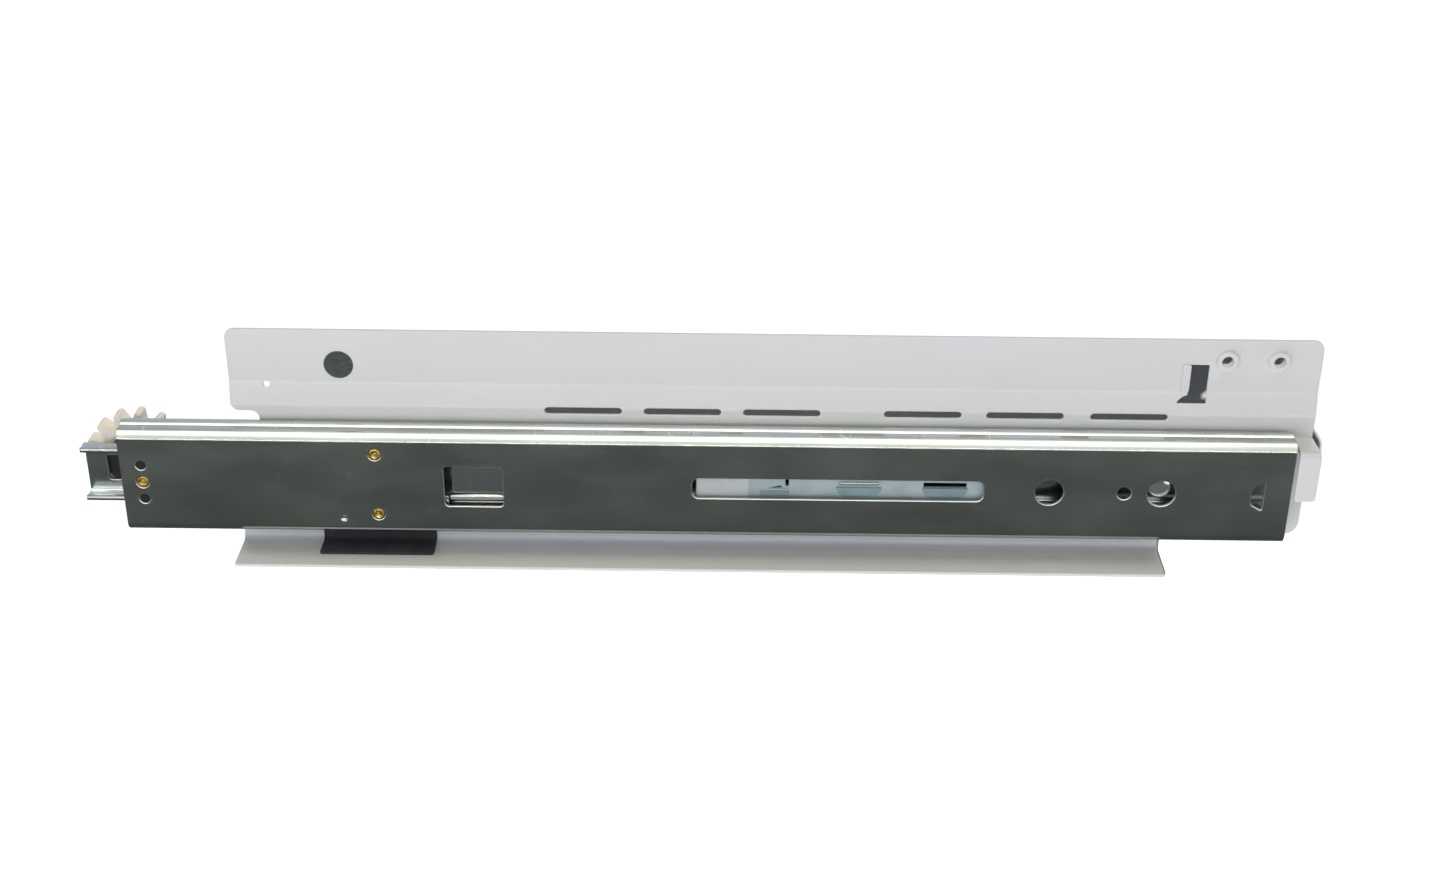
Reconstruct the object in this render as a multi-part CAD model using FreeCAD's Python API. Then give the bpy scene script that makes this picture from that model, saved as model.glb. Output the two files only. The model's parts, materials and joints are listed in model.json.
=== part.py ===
"""Ball-bearing drawer slide with a white drawer bracket and an anti-rack pinion.

Three rolled steel channels run one inside the other: the outer channel is fixed to the
cabinet side, the inner channel carries the drawer, and the middle channel joins them on
two pairs of ball rows. A white powder-coated bracket on the inner channel holds the drawer.

Frame, in millimetres: the origin is the centre of the small fixing hole on the outer
channel's cabinet face. +X points to the drawer front, -Y points out of the cabinet face,
and +Z is up. Every section is drawn in the YZ plane and extruded along X.
"""
import FreeCAD
import Part
import math
import os

V = FreeCAD.Vector
Y_AXIS = V(0, 1, 0)
THROUGH = 60.0          # depth of a cut that has to pass through everything in its way

# --- lengths along X --------------------------------------------------------------
OUTER_LENGTH = 500.0
OUTER_FRONT = 71.3      # outer channel's front end, ahead of the fixing hole
OUTER_REAR = OUTER_FRONT - OUTER_LENGTH
MIDDLE_REAR, MIDDLE_FRONT = -408.0, 52.0
INNER_REAR, INNER_FRONT = -447.2, 70.3
PLATE_REAR, PLATE_FRONT = -382.7, 81.3
LIP_FRONT = 20.3

# --- the three channel sections (half heights are measured from the slide's centre line) --
OUTER_SHEET = 1.5
OUTER_HALF = 24.0
OUTER_DEPTH = 13.5
OUTER_BEND = 4.0
RACE_Y = 9.5            # every ball row runs at this depth from the cabinet face
BALL_R = 2.4
BALL_PLAY = 0.15        # play between a ball and each groove
OUTER_BALL_Z = 21.05
INNER_BALL_Z = 14.75
GROOVE_R = BALL_R + BALL_PLAY
BULGE_R = GROOVE_R + OUTER_SHEET

MIDDLE_WEB_Y = 2.4
MIDDLE_SHEET = 1.8
MIDDLE_FLANGE = 2.0
MIDDLE_HALF = 18.9
MIDDLE_DEPTH = 12.5

INNER_SHEET = 1.5
INNER_WEB_Y = 13.0      # cabinet side of the inner channel's web
INNER_HALF = 12.5
INNER_TIP_Y = 6.2
LIP_ROLL_R = 1.1

# --- outer channel: holes and fasteners ---------------------------------------------
FIXING_R = 3.0
HANG_R = 6.0
HANG_X = (-32.0, 16.0)
SLOT_X = (-184.7, -60.1)
SLOT_HALF = 4.75
WINDOW_X = (-290.7, -265.7)
WINDOW_Z = (-10.0, 9.0)
HOOK_SLOT_X = (54.3, 59.6)
HOOK_SLOT_Z = (-7.7, 5.9)
STOP_X = -419.7         # rivet and pegs of the rear stop block
PEG_Z = 8.0
PEG_HOLE_R = 2.25
WEB_RIVET_X = -319.7
WEB_RIVET_Z = 14.3
RIVET_R = 2.55
RIVET_HOLE_R = 2.7
BLOCK_BACK_Y = 5.0      # rear stop block: clear of the inner channel's lips

# --- ball cages -------------------------------------------------------------------
CAGE_SHEET = 1.0
OUTER_CAGE_X = (-272.0, -72.0)
INNER_CAGE_X = (-301.0, -81.0)
BALLS_PER_ROW = 10

# --- drawer bracket ---------------------------------------------------------------
PLATE_SHEET = 1.6
PLATE_TOP = 64.5
PLATE_LOW_Y = 14.5      # cabinet side of the plate where it lies on the inner channel
PLATE_HIGH_Y = 17.0     # the same above the joggle
JOGGLE_Z = (30.5, 40.0)
FLOOR_Z = -35.0         # top of the lip that carries the drawer's floor
LIP_TIP_Y = -7.5
SLOT_ROW_Z = 29.0
SLOT_LENGTH = 33.0
SLOT_HALF_WIDTH = 1.5
SLOT_CENTRES = (-231.7, -189.2, -146.7, -86.4, -42.7, 1.8)
COLLAR_X = (40.7, 62.7)
COLLAR_Z = 55.5
COLLAR_R = 4.25
COLLAR_BORE_R = 2.6
COLLAR_RISE = 3.0
TAB_X = (72.3, 81.3)    # stop tab in front of the outer channel's end
TAB_TOP, TAB_FOOT = 20.9, -2.0
TAB_Y = -2.2
RIVET_ROW_X = (-340.0, -210.0, -50.0, 62.0)
ACCESS_X, ACCESS_Z = 18.0, -3.5   # driver access through the inner channel and the bracket
ACCESS_R = (4.5, 4.8)

# --- pinion -----------------------------------------------------------------------
GEAR_X, GEAR_Z = -425.5, 2.0
MODULE = 2.7
TEETH = 15
GEAR_TURN = 5.3         # rest angle of the wheel, in degrees
GEAR_Y = (15.6, 23.6)
AXLE_R = 4.0
WASHER_R = 13.5
AXLE_PLAY = 0.06


def rounded_face(corners, place):
    """A flat face from corners (a, b, radius); place turns (a, b) into a point."""
    flat = [V(a, b, 0) for a, b, _ in corners]
    edges = []
    start = None
    last = None
    for i, (_, _, radius) in enumerate(corners):
        here, before, after = flat[i], flat[i - 1], flat[(i + 1) % len(flat)]
        to_before = (before - here).normalize()
        to_after = (after - here).normalize()
        turn = math.pi - to_before.getAngle(to_after)
        reach = radius * math.tan(turn / 2)
        enter = here + to_before * reach
        leave = here + to_after * reach
        if last is not None:
            edges.append((last, enter))
        else:
            start = enter
        if radius > 0:
            middle_dir = (to_before + to_after).normalize()
            centre = here + middle_dir * (radius / math.cos(turn / 2))
            edges.append((enter, centre - middle_dir * radius, leave))
        last = leave
    edges.append((last, start))
    made = []
    for points in edges:
        spots = [place(p.x, p.y) for p in points]
        if len(spots) == 3:
            made.append(Part.Arc(*spots).toShape())
        elif (spots[0] - spots[1]).Length > 1e-6:
            made.append(Part.LineSegment(*spots).toShape())
    return Part.Face(Part.Wire(made))


def along_x(corners, x0, x1):
    """A section in YZ, drawn by its corners and extruded from x0 to x1."""
    face = rounded_face(corners, lambda y, z: V(x0, y, z))
    return face.extrude(V(x1 - x0, 0, 0))


def along_y(corners, y0, y1):
    """An outline in XZ, drawn by its corners and extruded from y0 to y1."""
    face = rounded_face(corners, lambda x, z: V(x, y0, z))
    return face.extrude(V(0, y1 - y0, 0))


def rod_x(radius, x0, x1, y, z):
    return Part.makeCylinder(radius, x1 - x0, V(x0, y, z), V(1, 0, 0))


def rod_y(radius, x, z, y0, y1):
    return Part.makeCylinder(radius, y1 - y0, V(x, y0, z), Y_AXIS)


def slab(x, y, z):
    """A plain block from three (low, high) pairs."""
    return Part.makeBox(x[1] - x[0], y[1] - y[0], z[1] - z[0], V(x[0], y[0], z[0]))


def pane(x, z, radius, y0, y1):
    """A rectangle in XZ with rounded corners, extruded along Y."""
    corners = [(x[0], z[0], radius), (x[1], z[0], radius), (x[1], z[1], radius), (x[0], z[1], radius)]
    return along_y(corners, y0, y1)


def both_sides(make):
    """The same thing above and below the centre line; make takes the sign."""
    return [make(1), make(-1)]


def cut_all(body, tools):
    for tool in tools:
        body = body.cut(tool)
    return body


def fuse_all(body, tools):
    return body.multiFuse(tools).removeSplitter()


def channel(x0, x1, web_y, tip_y, half, sheet, flange, bend):
    """A plain C section: a web at web_y and two flanges that reach to tip_y."""
    side = 1 if tip_y > web_y else -1
    inside = half - flange
    web_back = web_y + side * sheet
    inner_bend = max(bend - sheet, 0.6)
    corners = [
        (tip_y, half, 0), (web_y, half, bend), (web_y, -half, bend), (tip_y, -half, 0),
        (tip_y, -inside, 0), (web_back, -inside, inner_bend),
        (web_back, inside, inner_bend), (tip_y, inside, 0),
    ]
    return along_x(corners, x0, x1)


def outer_channel():
    x0, x1 = OUTER_REAR, OUTER_FRONT
    body = channel(x0, x1, 0.0, OUTER_DEPTH, OUTER_HALF, OUTER_SHEET, OUTER_SHEET, OUTER_BEND)
    race_z = OUTER_BALL_Z
    above = OUTER_HALF - OUTER_SHEET / 2

    def bulge(sign):
        rod = rod_x(BULGE_R, x0, x1, RACE_Y, sign * race_z)
        keep = sorted((sign * above, sign * (above + 6)))
        return rod.common(slab((x0, x1), (0, OUTER_DEPTH), keep))

    body = fuse_all(body, both_sides(bulge))
    body = cut_all(body, both_sides(lambda s: rod_x(GROOVE_R, x0 - 1, x1 + 1, RACE_Y, s * race_z)))
    y0, y1 = -1.0, OUTER_SHEET + 1.0
    cuts = [rod_y(FIXING_R, 0, 0, y0, y1), rod_y(RIVET_HOLE_R, STOP_X, 0, y0, y1)]
    cuts += [rod_y(HANG_R, x, 0, y0, y1) for x in HANG_X]
    cuts += [rod_y(PEG_HOLE_R, STOP_X, s * PEG_Z, y0, y1) for s in (1, -1)]
    cuts += [rod_y(RIVET_HOLE_R, WEB_RIVET_X, s * WEB_RIVET_Z, y0, y1) for s in (1, -1)]
    cuts.append(pane(SLOT_X, (-SLOT_HALF, SLOT_HALF), 3.0, y0, y1))
    cuts.append(pane(WINDOW_X, WINDOW_Z, 1.8, y0, y1))
    hook = [
        (HOOK_SLOT_X[1], HOOK_SLOT_Z[0], 0.5), (HOOK_SLOT_X[1], HOOK_SLOT_Z[1], 0.5),
        (HOOK_SLOT_X[0], HOOK_SLOT_Z[1] - 3, 3.0), (HOOK_SLOT_X[0], HOOK_SLOT_Z[0] + 3, 3.0),
    ]
    cuts.append(along_y(hook, y0, y1))
    return cut_all(body, cuts)


def rear_stop_block():
    body = pane((STOP_X - 7.3, STOP_X + 9.5), (-14.0, 14.0), 3.0, OUTER_SHEET + 0.05, BLOCK_BACK_Y)
    pegs = [rod_y(PEG_HOLE_R - 0.1, STOP_X, s * PEG_Z, 0.5, 3.0) for s in (1, -1)]
    return fuse_all(body, pegs).cut(rod_y(RIVET_R + 0.1, STOP_X, 0, 0, 8))


def outer_rivets():
    tail = OUTER_SHEET + 0.4

    def rivet(x, z, end):
        body = rod_y(RIVET_R, x, z, 0.15, end)
        return body.cut(rod_y(1.2, x, z, 0, 0.7))

    rivets = [rivet(STOP_X, 0, BLOCK_BACK_Y - 0.1)]
    for sign in (1, -1):
        shank = rivet(WEB_RIVET_X, sign * WEB_RIVET_Z, tail)
        rivets.append(shank.fuse(rod_y(3.1, WEB_RIVET_X, sign * WEB_RIVET_Z, OUTER_SHEET, tail)))
    return Part.makeCompound(rivets)


def outer_front_stops():
    blocks = [
        slab((OUTER_FRONT - 11, OUTER_FRONT - 3), (5.5, 12.0), sorted((s * 19.4, s * 22.3)))
        for s in (1, -1)
    ]
    return Part.makeCompound(blocks)


def ball_spots(span):
    pitch = (span[1] - span[0]) / BALLS_PER_ROW
    return [span[0] + pitch * (i + 0.5) for i in range(BALLS_PER_ROW)]


def cage(span, y, z):
    strip = pane(span, y, 0.8, 0, CAGE_SHEET)
    strip.rotate(V(0, 0, 0), V(1, 0, 0), 90)
    strip.translate(V(0, 0, z - CAGE_SHEET / 2 - strip.BoundBox.ZMin))
    strip.translate(V(0, y[0] - strip.BoundBox.YMin, 0))
    holes = [Part.makeCylinder(BALL_R + 0.1, 4, V(x, RACE_Y, z - 2)) for x in ball_spots(span)]
    return cut_all(strip, holes)


def balls(span, z):
    return Part.makeCompound([Part.makeSphere(BALL_R, V(x, RACE_Y, z)) for x in ball_spots(span)])


def middle_channel():
    x0, x1 = MIDDLE_REAR, MIDDLE_FRONT
    body = channel(x0, x1, MIDDLE_WEB_Y, MIDDLE_DEPTH, MIDDLE_HALF, MIDDLE_SHEET, MIDDLE_FLANGE, 3.0)
    grooves = [
        rod_x(GROOVE_R, x0 - 1, x1 + 1, RACE_Y, s * z)
        for s in (1, -1) for z in (OUTER_BALL_Z, INNER_BALL_Z)
    ]
    y0, y1 = MIDDLE_WEB_Y - 1, MIDDLE_WEB_Y + MIDDLE_SHEET + 1
    rear_edge = WINDOW_X[0] + 3.0
    cuts = [
        pane((rear_edge - 26, rear_edge), (-6.5, 12.0), 1.5, y0, y1),
        pane((rear_edge - 1.8, WINDOW_X[1] + 7), (-14.5, -4.4), 1.5, y0, y1),
        pane((SLOT_X[0] - 5.5, SLOT_X[1] + 6), (-9.5, 6.0), 2.5, y0, y1),
        rod_y(3.5, 0, -1.0, y0, y1),
    ]
    cuts += [rod_y(8.0, x + 1, -1.0, y0, y1) for x in HANG_X]
    return cut_all(body, grooves + cuts)


def guide_insert():
    """Plastic guide in the middle channel's slot, with two half-moon wedges on its face."""
    x0, x1 = SLOT_X[0] + 1.6, SLOT_X[1] + 5.6
    body = pane((x0, x1), (-9.1, 5.6), 2.2, MIDDLE_WEB_Y + 0.6, MIDDLE_WEB_Y + 3.0)
    wedges = []
    for centre in (-113.2, -76.3):
        moon = rod_y(13.0, centre, 9.6, MIDDLE_WEB_Y + 0.1, MIDDLE_WEB_Y + 1.0)
        wedges.append(moon.common(slab((centre - 12, centre + 12), (0, 6), (-6, 0.4))))
    return fuse_all(body, wedges)


def middle_front_stops():
    blocks = [
        slab((MIDDLE_FRONT - 8, MIDDLE_FRONT - 0.5), (6.0, 11.5), sorted((s * 13.9, s * 16.6)))
        for s in (1, -1)
    ]
    return Part.makeCompound(blocks)


def middle_rear_bumper():
    top = MIDDLE_WEB_Y + MIDDLE_SHEET
    return pane((MIDDLE_REAR - 1.4, MIDDLE_REAR + 10), (-9.0, 9.0), 2.0, top + 0.02, top + 1.4)


def inner_channel():
    x0, x1 = INNER_REAR, INNER_FRONT
    web_back = INNER_WEB_Y + INNER_SHEET
    body = channel(x0, x1, web_back, INNER_TIP_Y, INNER_HALF, INNER_SHEET, INNER_SHEET, 2.6)
    roll_z = INNER_HALF + 0.1 - LIP_ROLL_R
    rolls = both_sides(lambda s: rod_x(LIP_ROLL_R, x0, x1, INNER_TIP_Y + 0.8, s * roll_z))
    body = fuse_all(body, rolls)
    grooves = both_sides(lambda s: rod_x(GROOVE_R, x0 - 1, x1 + 1, RACE_Y, s * INNER_BALL_Z))
    y0, y1 = INNER_WEB_Y - 1, web_back + 1
    cuts = [pane((x0 + 9.2, x0 + 14.5), (-5.7, 6.2), 1.0, y0, y1)]
    cuts.append(rod_y(ACCESS_R[0], ACCESS_X, ACCESS_Z, y0, y1))
    cuts.append(rod_y(2.45, GEAR_X, GEAR_Z, y0, y1))
    cuts += [rod_y(2.55, x, 0, y0, y1) for x in RIVET_ROW_X]
    return cut_all(body, grooves + cuts)


def bracket_sheet():
    """The bracket's section: tall plate, joggle, plate on the channel, and the floor lip."""
    low, high, sheet = PLATE_LOW_Y, PLATE_HIGH_Y, PLATE_SHEET
    under = FLOOR_Z - sheet
    corners = [
        (high, PLATE_TOP, 0), (high, JOGGLE_Z[1], 8), (low, JOGGLE_Z[0], 8), (low, FLOOR_Z, 3.2),
        (LIP_TIP_Y, FLOOR_Z - 0.8, 0), (LIP_TIP_Y, under - 0.8, 0), (low + sheet, under, 4.8),
        (low + sheet, JOGGLE_Z[0], 8), (high + sheet, JOGGLE_Z[1], 8), (high + sheet, PLATE_TOP, 0),
    ]
    return along_x(corners, PLATE_REAR, PLATE_FRONT)


def hook_cutout():
    """The J-shaped opening for the drawer's hook; its foot reaches to the rear."""
    corners = [
        (26.1, 52.8, 0.4), (34.0, 52.8, 0.4), (34.0, 35.2, 0.4), (21.8, 35.2, 0.3),
        (21.8, 36.0, 0.3), (26.1, 39.6, 2.0),
    ]
    return along_y(corners, 0, THROUGH)


def drawer_bracket():
    notch_x, notch_top, notch_foot = PLATE_REAR + 12, 27.5, -24.0
    below = FLOOR_Z - 20
    outline = [
        (PLATE_REAR, PLATE_TOP, 4.5), (PLATE_FRONT, PLATE_TOP, 4.5), (PLATE_FRONT, -27.0, 6.0),
        (LIP_FRONT, -27.0, 2.5), (LIP_FRONT, below, 0), (PLATE_REAR, below, 0),
        (PLATE_REAR, notch_foot, 3.0), (notch_x, notch_foot, 3.0), (notch_x, notch_top, 3.5),
        (PLATE_REAR, notch_top, 4.0),
    ]
    body = bracket_sheet().common(along_y(outline, LIP_TIP_Y - 5, THROUGH))
    tip = [
        (PLATE_REAR, LIP_TIP_Y, 3.0), (LIP_FRONT, LIP_TIP_Y, 3.0), (LIP_FRONT, 14.0, 0),
        (PLATE_FRONT, 14.0, 0), (PLATE_FRONT, THROUGH, 0), (PLATE_REAR, THROUGH, 0),
    ]
    plan = rounded_face(tip, lambda x, y: V(x, y, -60)).extrude(V(0, 0, 140))
    body = body.common(plan)
    tab = along_x([
        (PLATE_LOW_Y + 0.5, TAB_TOP, 0), (TAB_Y, TAB_TOP, 3.4), (TAB_Y, TAB_FOOT, 0),
        (TAB_Y + PLATE_SHEET, TAB_FOOT, 0), (TAB_Y + PLATE_SHEET, TAB_TOP - PLATE_SHEET, 1.8),
        (PLATE_LOW_Y + 0.5, TAB_TOP - PLATE_SHEET, 0),
    ], *TAB_X)
    collars = [rod_y(COLLAR_R, x, COLLAR_Z, PLATE_HIGH_Y - COLLAR_RISE, PLATE_HIGH_Y + 0.5) for x in COLLAR_X]
    lance = slab((22.4, 26.4), (PLATE_HIGH_Y - 1.2, PLATE_HIGH_Y + 0.5), (39.9, 53.2))
    body = fuse_all(body, collars + [tab, lance])
    half = SLOT_LENGTH / 2
    row = (SLOT_ROW_Z - SLOT_HALF_WIDTH, SLOT_ROW_Z + SLOT_HALF_WIDTH)
    cuts = [pane((x - half, x + half), row, SLOT_HALF_WIDTH - 0.01, 0, THROUGH) for x in SLOT_CENTRES]
    cuts += [rod_y(COLLAR_BORE_R, x, COLLAR_Z, 0, THROUGH) for x in COLLAR_X]
    cuts += [rod_y(1.35, -366.7, 39.0, 0, THROUGH), hook_cutout()]
    cuts.append(rod_y(ACCESS_R[1], ACCESS_X, ACCESS_Z, 0, THROUGH))
    cuts += [rod_y(2.55, x, 0, 0, THROUGH) for x in RIVET_ROW_X]
    return cut_all(body, cuts)


def bracket_rivets():
    rivets = []
    for x in RIVET_ROW_X:
        back = PLATE_LOW_Y + PLATE_SHEET
        shank = rod_y(2.5, x, 0, INNER_WEB_Y - 0.9, back + 1.2)
        heads = [rod_y(4.2, x, 0, INNER_WEB_Y - 0.9, INNER_WEB_Y), rod_y(4.6, x, 0, back, back + 1.2)]
        rivets.append(fuse_all(shank, heads))
    return Part.makeCompound(rivets)


def edge_pad():
    """Soft pad that lines the bend between the plate and the floor lip."""
    face, thick = PLATE_LOW_Y, 1.2
    top = FLOOR_Z + 8.5
    corners = [
        (face, top, 0), (face, FLOOR_Z + 0.1, 3.4), (0.0, FLOOR_Z - 0.35, 0),
        (0.0, FLOOR_Z + thick - 0.35, 0), (face - thick, FLOOR_Z + thick + 0.1, 2.2), (face - thick, top, 0),
    ]
    body = along_x(corners, -347.2, -297.5)
    return body.cut(bracket_sheet())


def label_disc():
    return rod_y(6.25, -335.3, 48.5, PLATE_HIGH_Y - 0.25, PLATE_HIGH_Y)


def gear_outline():
    """A spur outline with straight-flanked teeth whose tips are rounded."""
    pitch_r = MODULE * TEETH / 2
    tip_r, root_r = pitch_r + MODULE, pitch_r - 1.25 * MODULE
    step = 2 * math.pi / TEETH
    corners = []
    for i in range(TEETH):
        for radius, share, rounding in (
            (root_r, -0.4, 0.6), (tip_r, -0.14, 1.2), (tip_r, 0.14, 1.2), (root_r, 0.4, 0.6),
        ):
            angle = step * (i + share)
            corners.append((radius * math.sin(angle), radius * math.cos(angle), rounding))
    return corners


def pinion_gear():
    y0, y1 = GEAR_Y
    body = along_y(gear_outline(), y0, y1)
    hub = [rod_y(7.0, 0, 0, y0, y1)]
    ring = rod_y(14.4, 0, 0, y0 + 2.5, y1 + 1).cut(rod_y(7.0, 0, 0, y0, y1 + 2))
    body = fuse_all(body.cut(ring), hub).cut(rod_y(AXLE_R + AXLE_PLAY, 0, 0, y0 - 1, y1 + 1))
    body.rotate(V(0, 0, 0), V(0, 1, 0), GEAR_TURN)
    body.translate(V(GEAR_X, 0, GEAR_Z))
    return body


def gear_axle():
    web_back = INNER_WEB_Y + INNER_SHEET
    axle = rod_y(AXLE_R, GEAR_X, GEAR_Z, web_back, GEAR_Y[1] + 1.6)
    tail = rod_y(2.4, GEAR_X, GEAR_Z, INNER_WEB_Y - 0.8, web_back)
    head = rod_y(3.1, GEAR_X, GEAR_Z, INNER_WEB_Y - 0.8, INNER_WEB_Y)
    body = fuse_all(axle, [tail, head])
    groove = rod_y(AXLE_R + 1, GEAR_X, GEAR_Z, GEAR_Y[1] + 0.4, GEAR_Y[1] + 1.0)
    return body.cut(groove.cut(rod_y(AXLE_R - 0.8, GEAR_X, GEAR_Z, 0, THROUGH)))


def gear_washer():
    web_back = INNER_WEB_Y + INNER_SHEET
    bore = rod_y(AXLE_R + 0.1, GEAR_X, GEAR_Z, 0, THROUGH)
    return rod_y(WASHER_R, GEAR_X, GEAR_Z, web_back + 0.02, GEAR_Y[0] - 0.3).cut(bore)


def gear_clip():
    """Open retaining ring that snaps into the axle's groove."""
    y0, y1 = GEAR_Y[1] + 0.42, GEAR_Y[1] + 0.98
    ring = rod_y(6.6, GEAR_X, GEAR_Z, y0, y1).cut(rod_y(AXLE_R - 0.75, GEAR_X, GEAR_Z, y0 - 1, y1 + 1))
    mouth = slab((GEAR_X - 2.4, GEAR_X + 2.4), (y0 - 1, y1 + 1), (GEAR_Z, GEAR_Z + 9))
    return ring.cut(mouth)


def build():
    outer_z, inner_z = OUTER_BALL_Z, INNER_BALL_Z
    parts = {
        "outer_channel": outer_channel(),
        "rear_stop_block": rear_stop_block(),
        "outer_rivets": outer_rivets(),
        "outer_front_stops": outer_front_stops(),
        "middle_channel": middle_channel(),
        "guide_insert": guide_insert(),
        "middle_front_stops": middle_front_stops(),
        "middle_rear_bumper": middle_rear_bumper(),
        "inner_channel": inner_channel(),
        "drawer_bracket": drawer_bracket(),
        "bracket_rivets": bracket_rivets(),
        "edge_pad": edge_pad(),
        "label_disc": label_disc(),
        "pinion_gear": pinion_gear(),
        "gear_axle": gear_axle(),
        "gear_washer": gear_washer(),
        "gear_clip": gear_clip(),
    }
    for side, sign in (("upper", 1), ("lower", -1)):
        parts["outer_cage_" + side] = cage(OUTER_CAGE_X, (5.2, 13.0), sign * outer_z)
        parts["outer_balls_" + side] = balls(OUTER_CAGE_X, sign * outer_z)
        parts["inner_cage_" + side] = cage(INNER_CAGE_X, (6.0, 12.4), sign * inner_z)
        parts["inner_balls_" + side] = balls(INNER_CAGE_X, sign * inner_z)
    return parts


os.makedirs("parts", exist_ok=True)
for name, shape in build().items():
    shape.exportStep("parts/" + name + ".step")
    box = shape.BoundBox
    print(name, shape.isValid(), len(shape.Solids), round(shape.Volume, 1),
          [round(v, 1) for v in (box.XMin, box.XMax, box.YMin, box.YMax, box.ZMin, box.ZMax)])
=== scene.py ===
"""Looks of a ball-bearing drawer slide with a powder-coated drawer bracket.

Rolled and folded sheet parts are made the way the press makes them: a flat blank with its
holes and rolled-over edges is folded along a section path. Sizes are in millimetres until
a mesh is written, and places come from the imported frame.
"""
import json
import logging
import math
from dataclasses import dataclass
from enum import Enum
from typing import Sequence

import bmesh
import bpy
from mathutils import Matrix, Vector

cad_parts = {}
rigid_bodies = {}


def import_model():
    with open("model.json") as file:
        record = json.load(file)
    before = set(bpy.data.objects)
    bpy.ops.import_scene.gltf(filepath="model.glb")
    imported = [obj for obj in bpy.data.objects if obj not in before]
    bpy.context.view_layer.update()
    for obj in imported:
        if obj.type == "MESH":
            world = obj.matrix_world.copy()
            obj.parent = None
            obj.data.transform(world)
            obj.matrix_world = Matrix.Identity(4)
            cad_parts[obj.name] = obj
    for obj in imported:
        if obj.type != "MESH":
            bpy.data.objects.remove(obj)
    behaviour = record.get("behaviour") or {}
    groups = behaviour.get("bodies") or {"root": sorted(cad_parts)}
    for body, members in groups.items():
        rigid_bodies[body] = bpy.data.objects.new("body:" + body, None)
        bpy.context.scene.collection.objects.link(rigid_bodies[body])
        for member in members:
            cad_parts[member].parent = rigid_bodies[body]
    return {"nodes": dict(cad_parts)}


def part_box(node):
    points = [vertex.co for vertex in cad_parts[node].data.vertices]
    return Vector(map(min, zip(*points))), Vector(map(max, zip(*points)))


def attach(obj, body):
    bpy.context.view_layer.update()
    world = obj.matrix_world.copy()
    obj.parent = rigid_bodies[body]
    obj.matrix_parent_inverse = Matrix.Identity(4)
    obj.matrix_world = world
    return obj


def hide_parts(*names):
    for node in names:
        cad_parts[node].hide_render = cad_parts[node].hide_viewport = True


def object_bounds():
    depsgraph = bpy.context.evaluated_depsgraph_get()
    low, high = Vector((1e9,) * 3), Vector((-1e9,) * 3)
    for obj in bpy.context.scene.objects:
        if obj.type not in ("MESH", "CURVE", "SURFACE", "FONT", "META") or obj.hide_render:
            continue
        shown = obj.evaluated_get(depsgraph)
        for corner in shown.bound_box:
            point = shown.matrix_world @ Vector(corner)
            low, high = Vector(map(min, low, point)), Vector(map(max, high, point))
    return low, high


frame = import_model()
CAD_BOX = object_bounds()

LOG = logging.getLogger("drawer_slide")
MM = 0.001

Point = tuple[float, float]
Corner = tuple[float, float, float]
Loop = list[Point]


class Body(str, Enum):
    """The CAD bodies that pieces ride on."""

    CABINET = "cabinet"
    OUTER_CAGES = "outer_cages"
    MIDDLE = "middle"
    INNER_CAGES = "inner_cages"
    DRAWER = "drawer"
    GEAR = "gear"


# ----------------------------------------------------------------------------- outlines


def rounded(corners: Sequence[Corner], facet: float = 12.0) -> Loop:
    """Turns corners with radii into a closed loop of points.

    Args:
        corners: (a, b, radius) in order round the outline.
        facet: largest turn of one chord of an arc, in degrees.

    Returns:
        The loop's points, in the corners' order.
    """
    loop: Loop = []
    count = len(corners)
    for i, (a, b, radius) in enumerate(corners):
        here = Vector((a, b))
        before = (Vector(corners[i - 1][:2]) - here).normalized()
        after = (Vector(corners[(i + 1) % count][:2]) - here).normalized()
        turn = math.pi - before.angle(after)
        if radius <= 0 or turn < 1e-4:
            loop.append((a, b))
            continue
        centre = here + (before + after).normalized() * (radius / math.cos(turn / 2))
        enter = here + before * (radius * math.tan(turn / 2)) - centre
        sign = 1.0 if before.cross(after) < 0 else -1.0
        steps = max(2, round(math.degrees(turn) / facet))
        for k in range(steps + 1):
            arm = Matrix.Rotation(sign * turn * k / steps, 2) @ enter
            loop.append((centre.x + arm.x, centre.y + arm.y))
    return loop


def rectangle(x: Point, y: Point, radius: float) -> Loop:
    """A rectangle with rounded corners, from its two spans."""
    return rounded([(x[0], y[0], radius), (x[1], y[0], radius), (x[1], y[1], radius), (x[0], y[1], radius)])


def circle(x: float, y: float, radius: float, steps: int = 48) -> Loop:
    """A circle as a closed loop."""
    turns = [2 * math.pi * i / steps for i in range(steps)]
    return [(x + radius * math.cos(t), y + radius * math.sin(t)) for t in turns]


def signed_area(loop: Loop) -> float:
    """The loop's area, positive when it runs anticlockwise."""
    pairs = zip(loop, loop[1:] + loop[:1])
    return sum(a[0] * b[1] - b[0] * a[1] for a, b in pairs) / 2


# ------------------------------------------------------------------------ section paths


@dataclass(frozen=True)
class Step:
    """One stretch of a section: its length at mid-sheet, and the degrees it turns left."""

    length: float
    turn: float = 0.0


def run(length: float) -> Step:
    """A straight stretch."""
    return Step(length)


def bend(radius: float, turn: float) -> Step:
    """A bend of that mid-sheet radius."""
    return Step(radius * math.radians(abs(turn)), turn)


def bead(rise: float, crown: float, blend: float) -> list[Step]:
    """A rolled bead: a rise to the left of the path, with blended feet."""
    turn = math.degrees(math.acos((crown + blend - rise) / (crown + blend)))
    return [bend(blend, turn), bend(crown, -2 * turn), bend(blend, turn)]


def bead_half_width(rise: float, crown: float, blend: float) -> float:
    """How far a bead reaches to each side of its crown."""
    reach = crown + blend
    return math.sqrt(reach**2 - (reach - rise) ** 2)


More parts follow.
